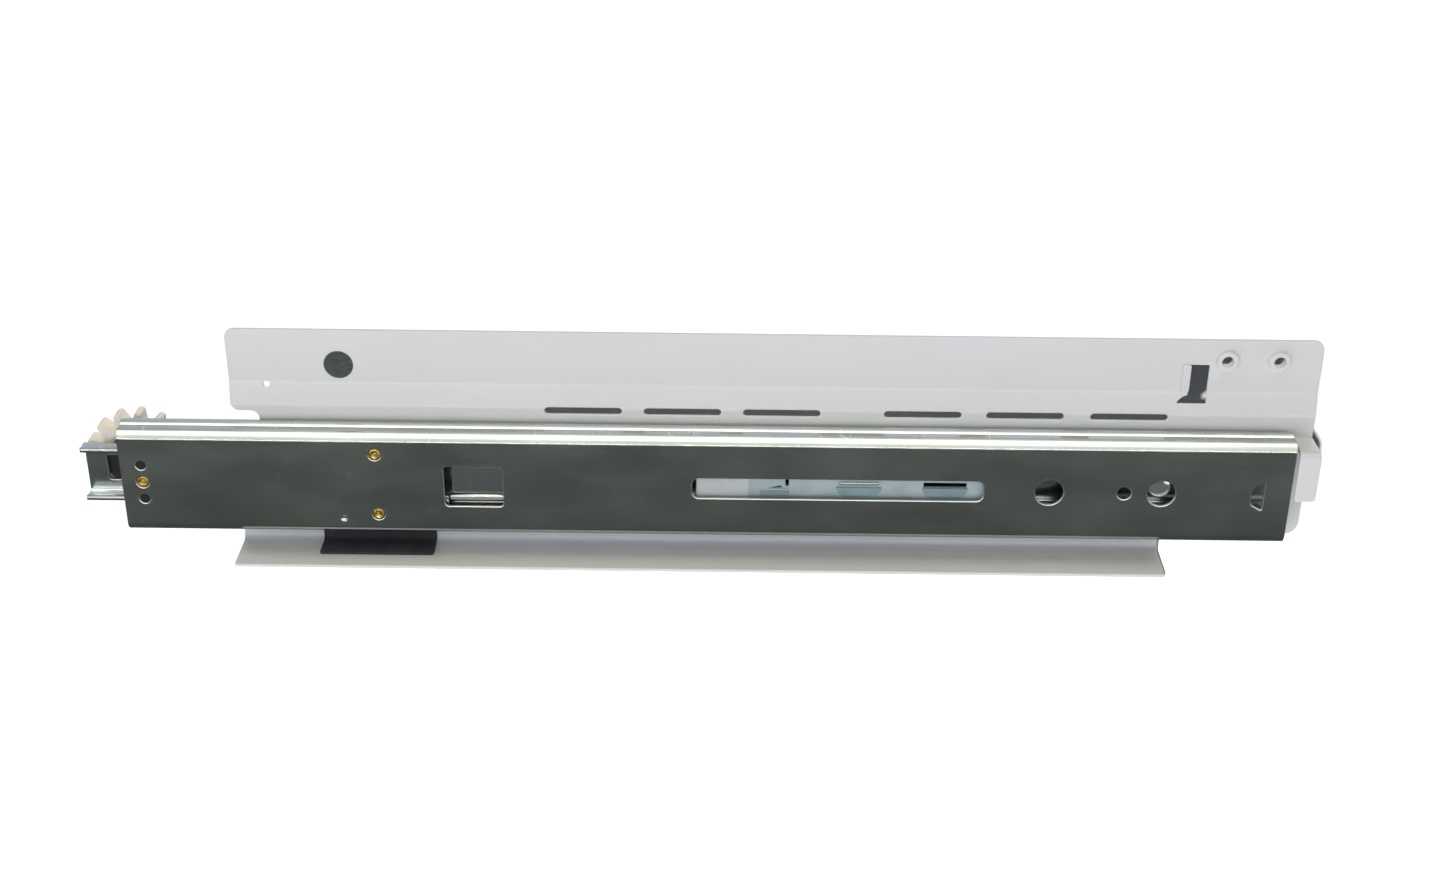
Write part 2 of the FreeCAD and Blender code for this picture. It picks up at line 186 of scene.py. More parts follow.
@dataclass
class SectionPath:
    """A sheet's section in the YZ plane, walked from start in the direction heading.

    The sheet's positive side is to the left of the walk.
    """

    start: Point
    heading: float
    steps: list[Step]
    offset: float = 0.0

    @property
    def length(self) -> float:
        """Developed length."""
        return sum(s.length for s in self.steps)

    def at(self, s: float) -> tuple[Vector, Vector, Vector]:
        """The place, direction and left side of the path at a developed distance.

        Args:
            s: distance from the path's zero, which lies offset past its start.

        Returns:
            Point, tangent and normal, each a (y, z) vector.
        """
        left = s + self.offset
        y, z = self.start
        angle = math.radians(self.heading)
        for i, step in enumerate(self.steps):
            last = i == len(self.steps) - 1
            part = left if last or left < step.length else step.length
            curve = math.radians(step.turn) / step.length if step.turn else 0.0
            if abs(curve) > 1e-9:
                after = angle + curve * part
                y += (math.sin(after) - math.sin(angle)) / curve
                z -= (math.cos(after) - math.cos(angle)) / curve
                angle = after
            else:
                y += part * math.cos(angle)
                z += part * math.sin(angle)
            left -= part
            if left <= 0:
                break
        tangent = Vector((math.cos(angle), math.sin(angle)))
        return Vector((y, z)), tangent, Vector((-tangent.y, tangent.x))

    def levels(self, facet: float = 9.0) -> list[float]:
        """Developed distances at which a blank is scored, so that its bends are round."""
        marks, s = [], -self.offset
        for step in self.steps:
            pieces = max(1, math.ceil(abs(step.turn) / facet)) if step.turn else 1
            marks += [s + step.length * k / pieces for k in range(pieces)]
            s += step.length
        return marks[1:]

    def where(self, z: float) -> float:
        """The developed distance at which a path that only falls or rises reaches z."""
        low, high = -self.offset, self.length - self.offset
        rising = self.at(high)[0].y > self.at(low)[0].y
        for _ in range(50):
            middle = (low + high) / 2
            if (self.at(middle)[0].y < z) == rising:
                low = middle
            else:
                high = middle
        return (low + high) / 2


def mirrored(start: Point, half: list[Step]) -> SectionPath:
    """A channel's section from half of it: start is the web's middle, and the walk goes up.

    Args:
        start: (y, z) of the web's middle at mid-sheet.
        half: steps from the web's middle to the upper flange's edge.

    Returns:
        The whole path, with its zero at the web's middle.
    """
    length = sum(s.length for s in half)
    upper = SectionPath(start, 90.0, half)
    spot, tangent, _ = upper.at(length)
    heading = math.degrees(math.atan2(tangent.y, -tangent.x))
    return SectionPath((spot.x, 2 * start[1] - spot.y), heading, half[::-1] + half, length)


# ------------------------------------------------------------------------ mesh builders


def write_mesh(
    name: str, bm: bmesh.types.BMesh, normals: list[Vector] | None, sharp: float = 32.0
) -> bpy.types.Object:
    """Turns a bmesh in millimetres into an object in metres.

    Args:
        name: the piece's name.
        bm: the finished mesh, which is freed.
        normals: one normal for each vertex, or None to shade smooth up to an angle.
        sharp: that angle, in degrees.

    Returns:
        The new object, linked to the scene.
    """
    bmesh.ops.scale(bm, vec=(MM, MM, MM), verts=bm.verts)
    for face in bm.faces:
        face.smooth = True
    mesh = bpy.data.meshes.new(name)
    bm.to_mesh(mesh)
    bm.free()
    if normals is None:
        mesh.set_sharp_from_angle(angle=math.radians(sharp))
    else:
        mesh.normals_split_custom_set_from_vertices(normals)
    made = bpy.data.objects.new(name, mesh)
    bpy.context.scene.collection.objects.link(made)
    return made


@dataclass
class Blank:
    """A flat blank with rounded edges, in (x, s, n): along the slide, across it, and through it.

    The walls of the holes of a blank with rim_highlight set, its cut edges, take the piece's second finish:
    painted lighter as a rim highlight.
    """

    outline: Loop
    holes: list[Loop]
    thickness: float
    edge: float = 0.3
    facets: int = 3
    rim_highlight: bool = False

    def rings(
        self, bm: bmesh.types.BMesh, layer: bmesh.types.BMLayerItem, loop: Loop, inward: bool
    ) -> tuple[list[bmesh.types.BMVert], list[bmesh.types.BMVert]]:
        """Adds the wall of one loop.

        Args:
            bm: the mesh to add it to.
            layer: where each vertex keeps its flat normal.
            loop: the outline or a hole.
            inward: True for a hole.

        Returns:
            The wall's top and bottom edge loops.
        """
        points = [Vector(p) for p in loop]
        if (signed_area(loop) > 0) == inward:
            points.reverse()
        count = len(points)
        outward: list[Vector] = []
        for i, here in enumerate(points):
            before = (here - points[i - 1]).normalized()
            after = (points[(i + 1) % count] - here).normalized()
            side = Vector((before.y, -before.x)) + Vector((after.y, -after.x))
            side.normalize()
            outward.append(side / max(0.5, side.dot(Vector((after.y, -after.x)))))
        half, edge = self.thickness / 2, min(self.edge, self.thickness / 2)
        profile = []
        for k in range(self.facets + 1):
            turn = math.pi / 2 * k / self.facets
            side, lift = math.sin(turn), math.cos(turn)
            profile.append((edge * (1 - side), half - edge * (1 - lift), side, lift))
        profile += [(inset, -n, side, -lift) for inset, n, side, lift in reversed(profile)]
        made = []
        for inset, n, side, lift in profile:
            ring = []
            for here, out in zip(points, outward):
                spot = here - out * inset
                vert = bm.verts.new((spot.x, spot.y, n))
                flat = out.normalized() * side
                vert[layer] = Vector((flat.x, flat.y, lift))
                ring.append(vert)
            made.append(ring)
        for upper, lower in zip(made, made[1:]):
            for i in range(count):
                j = (i + 1) % count
                wall = bm.faces.new((upper[i], lower[i], lower[j], upper[j]))
                wall.material_index = 1 if inward and self.rim_highlight else 0
        return made[0], made[-1]

    def build(self, levels: Sequence[float]) -> tuple[bmesh.types.BMesh, bmesh.types.BMLayerItem]:
        """Makes the blank and scores it across at the given distances.

        Args:
            levels: values of s to score it at.

        Returns:
            The mesh and its layer of flat normals.
        """
        bm = bmesh.new()
        layer = bm.verts.layers.float_vector.new("flat_normal")
        tops, bottoms = [], []
        for loop, inward in [(self.outline, False)] + [(h, True) for h in self.holes]:
            top, bottom = self.rings(bm, layer, loop, inward)
            tops.append(top)
            bottoms.append(bottom)
        for group, up in ((tops, 1.0), (bottoms, -1.0)):
            edges = []
            for ring in group:
                edges += [bm.edges.get((ring[i - 1], ring[i])) for i in range(len(ring))]
            bmesh.ops.triangle_fill(bm, edges=edges, use_beauty=True, normal=(0.0, 0.0, up))
        bmesh.ops.recalc_face_normals(bm, faces=bm.faces)
        for level in levels:
            geometry = list(bm.verts) + list(bm.edges) + list(bm.faces)
            bmesh.ops.bisect_plane(bm, geom=geometry, dist=1e-6, plane_co=(0, level, 0), plane_no=(0, 1, 0))
        return bm, layer

    def fold(self, name: str, path: SectionPath) -> bpy.types.Object:
        """Folds the blank along a section path.

        Args:
            name: the piece's name.
            path: the section that it is folded to.

        Returns:
            The folded object.
        """
        bm, layer = self.build(path.levels())
        normals = []
        for vert in bm.verts:
            x, s, n = vert.co
            spot, tangent, side = path.at(s)
            flat = vert[layer].normalized()
            place = spot + side * n
            vert.co = (x, place.x, place.y)
            turned = tangent * flat.y + side * flat.z
            normals.append(Vector((flat.x, turned.x, turned.y)))
        return write_mesh(name, bm, normals)


def flat_plate(name: str, blank: Blank, front_y: float) -> bpy.types.Object:
    """A plate that stands in the XZ plane, its outline in (x, z) and its front face at front_y."""
    path = SectionPath((front_y + blank.thickness / 2, 0.0), 90.0, [run(1.0)])
    return blank.fold(name, path)


def lathe(name: str, profile: Loop, x: float, z: float, steps: int = 48) -> bpy.types.Object:
    """Turns a closed profile of (radius, y) about an axis along Y through (x, z).

    Args:
        name: the piece's name.
        profile: the closed section, with radii of 0 on the axis.
        x: the axis's place along the slide.
        z: the axis's height.
        steps: facets round the turn.

    Returns:
        The turned object.
    """
    bm = bmesh.new()
    rings = []
    for k in range(steps):
        turn = 2 * math.pi * k / steps
        ring = [bm.verts.new((x + r * math.cos(turn), y, z + r * math.sin(turn))) for r, y in profile]
        rings.append(ring)
    for k in range(steps):
        here, after = rings[k], rings[(k + 1) % steps]
        for i in range(len(profile)):
            j = (i + 1) % len(profile)
            bm.faces.new((here[i], here[j], after[j], after[i]))
    bmesh.ops.remove_doubles(bm, verts=bm.verts, dist=1e-5)
    bmesh.ops.dissolve_degenerate(bm, edges=bm.edges, dist=1e-6)
    bmesh.ops.recalc_face_normals(bm, faces=bm.faces)
    return write_mesh(name, bm, None)


# ----------------------------------------------------------------------------- finishes


def linear(colour: str) -> tuple[float, float, float, float]:
    """An sRGB hex colour as linear RGBA."""
    parts = [int(colour[i:i + 2], 16) / 255 for i in (1, 3, 5)]
    bent = [c / 12.92 if c <= 0.04045 else ((c + 0.055) / 1.055) ** 2.4 for c in parts]
    return (bent[0], bent[1], bent[2], 1.0)


def feed(tree: bpy.types.NodeTree, node: bpy.types.Node, inputs: dict) -> None:
    """Fills a node's inputs.

    Args:
        tree: the material's node tree.
        node: the node to fill.
        inputs: socket names or numbers, each with a value, or with the node or socket that feeds it.
    """
    for key, value in inputs.items():
        if isinstance(value, bpy.types.Node):
            value = value.outputs[0]
        if isinstance(value, bpy.types.NodeSocket):
            tree.links.new(value, node.inputs[key])
        else:
            node.inputs[key].default_value = value


def add(
    tree: bpy.types.NodeTree, kind: str, inputs: dict | None = None, **settings: object
) -> bpy.types.Node:
    """Adds one shader node.

    A Map Range takes its value as input 0, the span it comes in as 1 and 2 and the span it
    goes to as 3 and 4. A Mix takes its factor as input 0 and its two colours as 6 and 7.

    Args:
        tree: the material's node tree.
        kind: the node's type, without its ShaderNode prefix.
        inputs: what feed takes.
        settings: the node's own properties.

    Returns:
        The new node.
    """
    node = tree.nodes.new("ShaderNode" + kind)
    for key, value in settings.items():
        setattr(node, key, value)
    feed(tree, node, inputs or {})
    return node


def stretched(tree: bpy.types.NodeTree, spacing: Sequence[float], turn: float = 0.0) -> bpy.types.Node:
    """Object coordinates divided by a pattern's real spacing.

    Args:
        tree: the material's node tree.
        spacing: the spacing along X, Y and Z, in millimetres.
        turn: how far the pattern is turned about Y, in degrees.

    Returns:
        The node with the coordinates.
    """
    where = add(tree, "TexCoord").outputs["Object"]
    turned = add(tree, "Mapping", {"Vector": where, "Rotation": (0.0, math.radians(turn), 0.0)})
    return add(tree, "Mapping", {"Vector": turned, "Scale": tuple(1 / (s * MM) for s in spacing)})


def noise(
    tree: bpy.types.NodeTree, spacing: Sequence[float], detail: float, turn: float = 0.0
) -> bpy.types.Node:
    """A noise whose cells have a real spacing; the other arguments are those of stretched."""
    place = stretched(tree, spacing, turn)
    return add(tree, "TexNoise", {"Vector": place, "Scale": 1.0, "Detail": detail, "Roughness": 0.55})


def two_tone(
    tree: bpy.types.NodeTree, pattern: bpy.types.Node, dark: str, light: str, between: Point = (0.3, 0.7)
) -> bpy.types.NodeSocket:
    """A colour that goes from dark to light as a pattern crosses a span.

    Args:
        tree: the material's node tree.
        pattern: the node with the pattern's value.
        dark: sRGB hex colour below the span.
        light: sRGB hex colour above it.
        between: the span.

    Returns:
        The colour.
    """
    share = add(tree, "MapRange", {0: pattern, 1: between[0], 2: between[1]})
    return add(tree, "Mix", {0: share, 6: linear(dark), 7: linear(light)}, data_type="RGBA").outputs[2]


def begin(name: str) -> tuple[bpy.types.Material, bpy.types.NodeTree, bpy.types.Node]:
    """An empty material, its node tree, and its Principled shader joined to the output."""
    material = bpy.data.materials.new(name)
    material.use_nodes = True
    tree = material.node_tree
    tree.nodes.clear()
    shader = add(tree, "BsdfPrincipled")
    add(tree, "OutputMaterial", {"Surface": shader})
    return material, tree, shader


@dataclass(frozen=True)
class ZincPlatedSteel:
    """Cold-rolled strip, zinc plated: a cool mirror-like skin with rolling lines and handling scratches."""

    name: str = "zinc_plated_steel"
    light: str = "#bec3c0"
    dark: str = "#adb2af"
    scratch: str = "#eef0ef"
    roughness: float = 0.2
    roll_line: float = 0.35
    dust_cell: float = 7.0

    def make(self) -> bpy.types.Material:
        """Builds the material."""
        material, tree, shader = begin(self.name)
        scratch = linear(self.scratch)
        # rolling lines run along the strip; drawn coarser than the real 0.05 mm so that they show
        lines = noise(tree, (60.0, self.roll_line, self.roll_line), 4.0)
        # slow cloudiness of the plating bath
        cloud = noise(tree, (45.0, 18.0, 18.0), 3.0)
        lined = add(tree, "MapRange", {0: lines, 1: 0.3, 2: 0.7, 4: 0.35})
        clouded = add(tree, "MapRange", {0: cloud, 1: 0.35, 2: 0.65, 4: 0.65})
        tone = add(tree, "Math", {0: lined, 1: clouded}, operation="ADD")
        tones = {0: tone, 6: linear(self.dark), 7: linear(self.light)}
        colour = add(tree, "Mix", tones, data_type="RGBA").outputs[2]
        # short handling scratches in three directions, thin and few
        for turn, shift in ((76.0, 1.0), (-14.0, 1.6), (35.0, 1.3)):
            streak = noise(tree, (8.0 * shift, 9.0, 0.25), 0.0, turn)
            patch = noise(tree, (16.0, 16.0, 16.0 * shift), 1.0)
            thin = add(tree, "MapRange", {0: streak, 1: 0.76, 2: 0.8})
            few = add(tree, "MapRange", {0: patch, 1: 0.5, 2: 0.62, 4: 0.7})
            hit = add(tree, "Math", {0: thin, 1: few}, operation="MULTIPLY")
            colour = add(tree, "Mix", {0: hit, 6: colour, 7: scratch}, data_type="RGBA").outputs[2]
        # specks of dust, about one in each cell and half a millimetre wide
        speck = add(tree, "TexVoronoi", {"Vector": stretched(tree, (self.dust_cell,) * 3), "Scale": 1.0})
        dust = add(tree, "MapRange", {0: speck, 1: 0.03, 2: 0.055, 3: 0.45, 4: 0.0})
        feed(tree, shader, {
            "Base Color": add(tree, "Mix", {0: dust, 6: colour, 7: scratch}, data_type="RGBA").outputs[2],
            "Roughness": add(tree, "MapRange", {
                0: cloud, 1: 0.25, 2: 0.75, 3: self.roughness - 0.02, 4: self.roughness + 0.03,
            }),
            "Normal": add(tree, "Bump", {"Height": lines, "Strength": 0.12, "Distance": 0.00002}),
            "Metallic": add(tree, "MapRange", {0: dust, 2: 0.45, 3: 1.0, 4: 0.82}),
        })
        return material


@dataclass(frozen=True)
class PowderCoat:
    """Polyester powder coat, stoved: even white, half gloss, with a very fine orange peel."""

    name: str = "white_powder_coat"
    light: str = "#e6e6e5"
    dark: str = "#e3e3e3"
    roughness: float = 0.24
    peel: float = 0.9

    def make(self) -> bpy.types.Material:
        """Builds the material."""
        material, tree, shader = begin(self.name)
        # thickness of the coat drifts slowly, which the eye sees as a faint change of grey
        drift = noise(tree, (70.0, 40.0, 40.0), 2.0)
        peel = noise(tree, (self.peel,) * 3, 2.0)
        feed(tree, shader, {
            "Base Color": two_tone(tree, drift, self.dark, self.light),
            "Roughness": add(tree, "MapRange", {
                0: drift, 1: 0.2, 2: 0.8, 3: self.roughness - 0.01, 4: self.roughness + 0.01,
            }),
            "Normal": add(tree, "Bump", {"Height": peel, "Strength": 0.22, "Distance": 0.00004}),
            "IOR": 1.5,
        })
        return material


@dataclass(frozen=True)
class MouldedPlastic:
    """Injection-moulded plastic: flow clouds, a fine spark-eroded skin and a soft gloss."""

    name: str
    light: str
    dark: str
    roughness: float
    grain: float = 0.25
    through: float = 0.0

    def make(self) -> bpy.types.Material:
        """Builds the material."""
        material, tree, shader = begin(self.name)
        flow = noise(tree, (14.0, 9.0, 9.0), 3.0)
        skin = noise(tree, (self.grain,) * 3, 3.0)
        feed(tree, shader, {
            "Base Color": two_tone(tree, flow, self.dark, self.light),
            "Roughness": add(tree, "MapRange", {
                0: skin, 1: 0.3, 2: 0.7, 3: self.roughness - 0.05, 4: self.roughness + 0.05,
            }),
            "Normal": add(tree, "Bump", {"Height": skin, "Strength": 0.25, "Distance": 0.00003}),
            "IOR": 1.48,
            "Subsurface Weight": self.through,
            "Subsurface Radius": (0.002, 0.0018, 0.0015),
            "Subsurface Scale": 1.0,
        })
        return material


@dataclass(frozen=True)
class YellowPassivate:
    """Turned steel, zinc plated and yellow passivated: brassy, with an iridescent cloud."""

    name: str = "yellow_passivate"
    light: str = "#e0c67a"
    dark: str = "#8f7126"
    roughness: float = 0.3

    def make(self) -> bpy.types.Material:
        """Builds the material."""
        material, tree, shader = begin(self.name)
        cloud = noise(tree, (1.4, 1.4, 1.4), 3.0)
        # turning marks left by the lathe, about 0.15 mm apart
        marks = noise(tree, (0.15, 3.0, 0.15), 1.0)
        feed(tree, shader, {
            "Base Color": two_tone(tree, cloud, self.dark, self.light, (0.35, 0.65)),
            "Roughness": add(tree, "MapRange", {
                0: cloud, 1: 0.3, 2: 0.7, 3: self.roughness, 4: self.roughness + 0.12,
            }),
            "Normal": add(tree, "Bump", {"Height": marks, "Strength": 0.2, "Distance": 0.00003}),
            "Metallic": 1.0,
        })
        return material


@dataclass(frozen=True)
class FoamRubber:
    """Closed-cell foam strip: near-black, dead matt, with cut cells that catch a little light."""

    name: str = "black_foam_rubber"
    light: str = "#35373c"
    dark: str = "#24262a"
    cell: float = 0.45

    def make(self) -> bpy.types.Material:
        """Builds the material."""
        material, tree, shader = begin(self.name)
        cells = add(tree, "TexVoronoi", {"Vector": stretched(tree, (self.cell,) * 3), "Scale": 1.0})
        drift = noise(tree, (12.0, 12.0, 12.0), 2.0)
        feed(tree, shader, {
            "Base Color": two_tone(tree, drift, self.dark, self.light),
            "Roughness": add(tree, "MapRange", {0: cells, 2: 0.7, 3: 0.72, 4: 0.9}),
            "Normal": add(tree, "Bump", {"Height": cells, "Strength": 0.5, "Distance": 0.0001}),
            "IOR": 1.45,
        })
        return material


@dataclass(frozen=True)
class PrintedFilm:
    """Printed film label: a grey-green field with mottled ink under a satin face."""

    name: str = "printed_film"
    light: str = "#464c47"
    dark: str = "#353b37"
    roughness: float = 0.38

    def make(self) -> bpy.types.Material:
        """Builds the material."""
        material, tree, shader = begin(self.name)
        mottle = noise(tree, (1.6, 1.6, 0.7), 4.0)
        feed(tree, shader, {
            "Base Color": two_tone(tree, mottle, self.dark, self.light, (0.4, 0.6)),
            "Roughness": add(tree, "MapRange", {
                0: mottle, 1: 0.3, 2: 0.7, 3: self.roughness, 4: self.roughness + 0.1,
            }),
            "IOR": 1.5,
        })
        return material


@dataclass(frozen=True)
class BearingSteel:
    """Hardened chrome steel, ground and lapped: a clean dark mirror with hairline lap marks."""

    name: str = "bearing_steel"
    light: str = "#c9cccd"
    dark: str = "#b2b6b8"
    roughness: float = 0.12

    def make(self) -> bpy.types.Material:
        """Builds the material."""
        material, tree, shader = begin(self.name)
        lap = noise(tree, (0.6, 0.6, 0.6), 3.0)
        feed(tree, shader, {
            "Base Color": two_tone(tree, lap, self.dark, self.light),
            "Roughness": add(tree, "MapRange", {
                0: lap, 1: 0.3, 2: 0.7, 3: self.roughness, 4: self.roughness + 0.08,
            }),
            "Metallic": 1.0,
        })
        return material


class Finishes:
    """All the finishes, made once and shared."""

    def __init__(self) -> None:
        """Builds every material."""
        self.zinc = ZincPlatedSteel().make()
        # the same zinc painted lighter and bluer, standing in for light reflected on the inner members,
        # cages, rivets and stud
        self.zinc_painted_lighter = ZincPlatedSteel(name="zinc_painted_lighter", light="#c6cdce", dark="#b3babc").make()
        # lighter copy of the zinc for cut hole walls: partly the bare steel of the cut, partly a painted
        # highlight standing for rims that catch the light
        self.rim_highlight = ZincPlatedSteel("sheared_edge_painted_highlight", "#ccd0d0", "#bcc1c1", roughness=0.32).make()
        self.white = PowderCoat().make()
        self.acetal = MouldedPlastic("cream_acetal", "#fffaee", "#f8f0df", 0.4).make()
        self.nylon = MouldedPlastic("black_nylon", "#111112", "#0b0b0c", 0.5).make()
        self.guide = MouldedPlastic("pale_guide_plastic", "#b4c1c4", "#9fb0b4", 0.36, through=0.1).make()
        # darker copy of the guide plastic: painted shade on the half-moon wedges and the clip's lip
        self.wedge = MouldedPlastic("guide_wedge_painted_shade", "#8ea6a8", "#7c9698", 0.3, through=0.1).make()
        self.guide_head = MouldedPlastic("guide_head_plastic", "#ccd0cd", "#bcc2c0", 0.36, through=0.1).make()
        self.yellow = YellowPassivate().make()
        self.foam = FoamRubber().make()
        self.film = PrintedFilm().make()
        self.balls = BearingSteel().make()


def dress(
    piece: bpy.types.Object, material: bpy.types.Material, body: Body, slot: str, *replaced: str,
    rims: bpy.types.Material | None = None,
) -> bpy.types.Object:
    """Gives a piece its finish and its body, and hides the CAD nodes it stands for.

    Args:
        piece: the mesh object.
        material: its finish.
        body: the CAD body it rides on.
        slot: the record's material slot; not used.
        replaced: CAD nodes that it stands for.
        rims: the finish of its cut hole edges, if it has any: the bare cut edge, painted lighter as a rim
            highlight.

    Returns:
        The same piece.
    """
    if piece.data.materials:
        piece.data.materials.clear()
    for finish in (material, rims):
        if finish:
            piece.data.materials.append(finish)
    if replaced:
        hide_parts(*replaced)
    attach(piece, body.value)
    LOG.info("%s on %s, %d faces", piece.name, body.value, len(piece.data.polygons))
    return piece


def span(node: str, axis: int) -> Point:
    """A CAD node's low and high limits along an axis, in millimetres."""
    low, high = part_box(node)
    return low[axis] / MM, high[axis] / MM


# ------------------------------------------------------------------------ sub-assemblies


@dataclass
class OuterChannel:
    """The cabinet member: web with its holes, bends, and flanges with the outer ball race."""

    sheet: float = 1.5
    bend_radius: float = 3.25
    race_y: float = 9.5
    race_rise: float = 1.1
    race_crown: float = 3.3
    race_blend: float = 1.0
    corner: float = 2.2
    fixing_radius: float = 3.0
    hang_radius: float = 6.0
    hang_x: Point = (-32.0, 16.0)
    slot_x: Point = (-184.7, -60.1)
    slot_half: float = 4.75
    window_x: Point = (-290.7, -265.7)
    window_z: Point = (-10.0, 9.0)
    hook_x: Point = (54.3, 59.6)
    hook_z: Point = (-7.7, 5.9)
    stop_x: float = -419.7
    peg_z: float = 8.0
    peg_radius: float = 2.25
    rivet_x: float = -319.7
    rivet_z: float = 14.3
    rivet_radius: float = 2.7
    dimple: Point = (-334.7, -16.4)
    dimple_radius: float = 1.3
    race_room: float = 5.1

    def path(self) -> SectionPath:
        """The rolled section."""
        web_half = span("middle_channel", 2)[1] + self.race_room - self.sheet / 2 - self.bend_radius
        depth = span("outer_channel", 1)[1]
        shoulder = self.sheet / 2 + self.bend_radius
        reach = bead_half_width(self.race_rise, self.race_crown, self.race_blend)
        half = [run(web_half), bend(self.bend_radius, -90.0), run(self.race_y - reach - shoulder)]
        half += bead(self.race_rise, self.race_crown, self.race_blend)
        half.append(run(depth - self.race_y - reach))
        return mirrored((self.sheet / 2, 0.0), half)

    def holes(self) -> list[Loop]:
        """Every opening in the web."""
        found = [circle(0, 0, self.fixing_radius)]
        found += [circle(x, 0, self.hang_radius, 72) for x in self.hang_x]
        found += [circle(self.stop_x, s * self.peg_z, self.peg_radius) for s in (1, -1)]
        found.append(circle(self.stop_x, 0, self.rivet_radius))
        found += [circle(self.rivet_x, s * self.rivet_z, self.rivet_radius) for s in (1, -1)]
        found.append(rectangle(self.slot_x, (-self.slot_half, self.slot_half), 3.0))
        found.append(rectangle(self.window_x, self.window_z, 1.8))
        found.append(circle(*self.dimple, self.dimple_radius, 24))
        (x0, x1), (z0, z1) = self.hook_x, self.hook_z
        found.append(rounded([(x1, z0, 0.7), (x1, z1, 0.7), (x0, z1 - 3, 3.0), (x0, z0 + 3, 3.0)]))
        return found

    def build(self, looks: Finishes) -> None:
        """Makes the channel, its dimple and its rivets."""
        path = self.path()
        half = path.length / 2
        outline = rectangle(span("outer_channel", 0), (-half, half), self.corner)
        blank = Blank(outline, self.holes(), self.sheet, 0.36, 3, True)
        sheet = blank.fold("outer_channel_sheet", path)
        dress(sheet, looks.zinc, Body.CABINET, "galvanised", "outer_channel", rims=looks.rim_highlight)
        r = self.dimple_radius + 0.05
        dish = [(0, 0.55), (r * 0.5, 0.4), (r * 0.85, 0.1), (r, 0.02), (r, 0.6), (r * 0.6, 1.0), (0, 1.1)]
        dress(lathe("outer_channel_dimple", dish, *self.dimple, 24), looks.zinc, Body.CABINET, "galvanised")
        self.rivets(looks)
        for node, slot in (("rear_stop_block", "black_nylon"), ("outer_front_stops", "black_nylon")):
            dress(frame["nodes"][node], looks.nylon, Body.CABINET, slot)

    def rivets(self, looks: Finishes) -> None:
        """Makes the tubular rivets, with a rolled rim and a hollow centre."""
        places = [(self.stop_x, 0.0, 4.9)]
        places += [(self.rivet_x, s * self.rivet_z, 1.9) for s in (1, -1)]
        for i, (x, z, end) in enumerate(places):
            profile = rounded([
                (0, 1.1, 0), (0, end, 0), (2.5, end, 0.2), (2.5, 0.1, 0.45), (1.5, 0.1, 0.4),
                (1.2, 0.8, 0.25), (0.6, 0.8, 0.2), (0.5, 0.45, 0.15), (0.2, 0.45, 0.1), (0, 0.9, 0),
            ], 20.0)
            rivet = lathe(f"outer_rivet_{i}", profile, x, z, 40)
            dress(rivet, looks.yellow, Body.CABINET, "yellow_zinc", *(["outer_rivets"] if i == 0 else []))


@dataclass
class MiddleChannel:
    """The member between the other two, with a race on each side of its flanges."""

    sheet: float = 1.2
    bend_radius: float = 2.4
    flange_z: float = 17.9
    access_radius: float = 8.0
    access_z: float = -1.0
    centre_radius: float = 3.5

    def build(self, outer: OuterChannel, looks: Finishes) -> None:
        """Makes the channel and dresses its stops.

        Args:
            outer: the channel whose openings its own lie behind.
            looks: the shared finishes.
        """
        (y0, y1), xs = span("middle_channel", 1), span("middle_channel", 0)
        web_y = y0 + self.sheet / 2
        half_steps = [
            run(self.flange_z - self.bend_radius), bend(self.bend_radius, -90.0),
            run(y1 - web_y - self.bend_radius),
        ]
        path = mirrored((web_y, 0.0), half_steps)
        half = path.length / 2
        rear_edge = outer.window_x[0] + 3.0
        sill = rounded([
            (rear_edge - 26, -6.5, 1.5), (rear_edge - 1.8, -6.5, 0.5), (rear_edge - 1.8, -14.5, 1.5),
            (outer.window_x[1] + 7, -14.5, 1.5), (outer.window_x[1] + 7, -4.4, 1.5),
            (rear_edge, -4.4, 1.0), (rear_edge, 12.0, 1.5), (rear_edge - 26, 12.0, 1.5),
        ])
        slot_x = (outer.slot_x[0] - 5.5, outer.slot_x[1] + 6)
        holes = [sill, rectangle(slot_x, (-9.5, 6.0), 2.5), circle(0, self.access_z, self.centre_radius)]
        holes += [circle(x + 1, self.access_z, self.access_radius) for x in outer.hang_x]
        blank = Blank(rectangle(xs, (-half, half), 2.0), holes, self.sheet, 0.3, 3, True)
        sheet = blank.fold("middle_channel_sheet", path)
        dress(sheet, looks.zinc_painted_lighter, Body.MIDDLE, "galvanised", "middle_channel", rims=looks.rim_highlight)
        # the window sill's rolled edge in the lighter rim finish: a real roll, painted lighter as a highlight
        # standing for the bright band in the window
        sill_x = (rear_edge - 1.5, outer.window_x[1] + 6.5)
        roll = Blank(rectangle(sill_x, (-8.9, -5.7), 0.0), [], 2.6, 1.25, 5)
        dress(flat_plate("middle_window_roll", roll, y0 + 0.35), looks.rim_highlight, Body.MIDDLE, "galvanised")
        for node in ("middle_front_stops", "middle_rear_bumper"):
            dress(frame["nodes"][node], looks.nylon, Body.MIDDLE, "black_nylon")


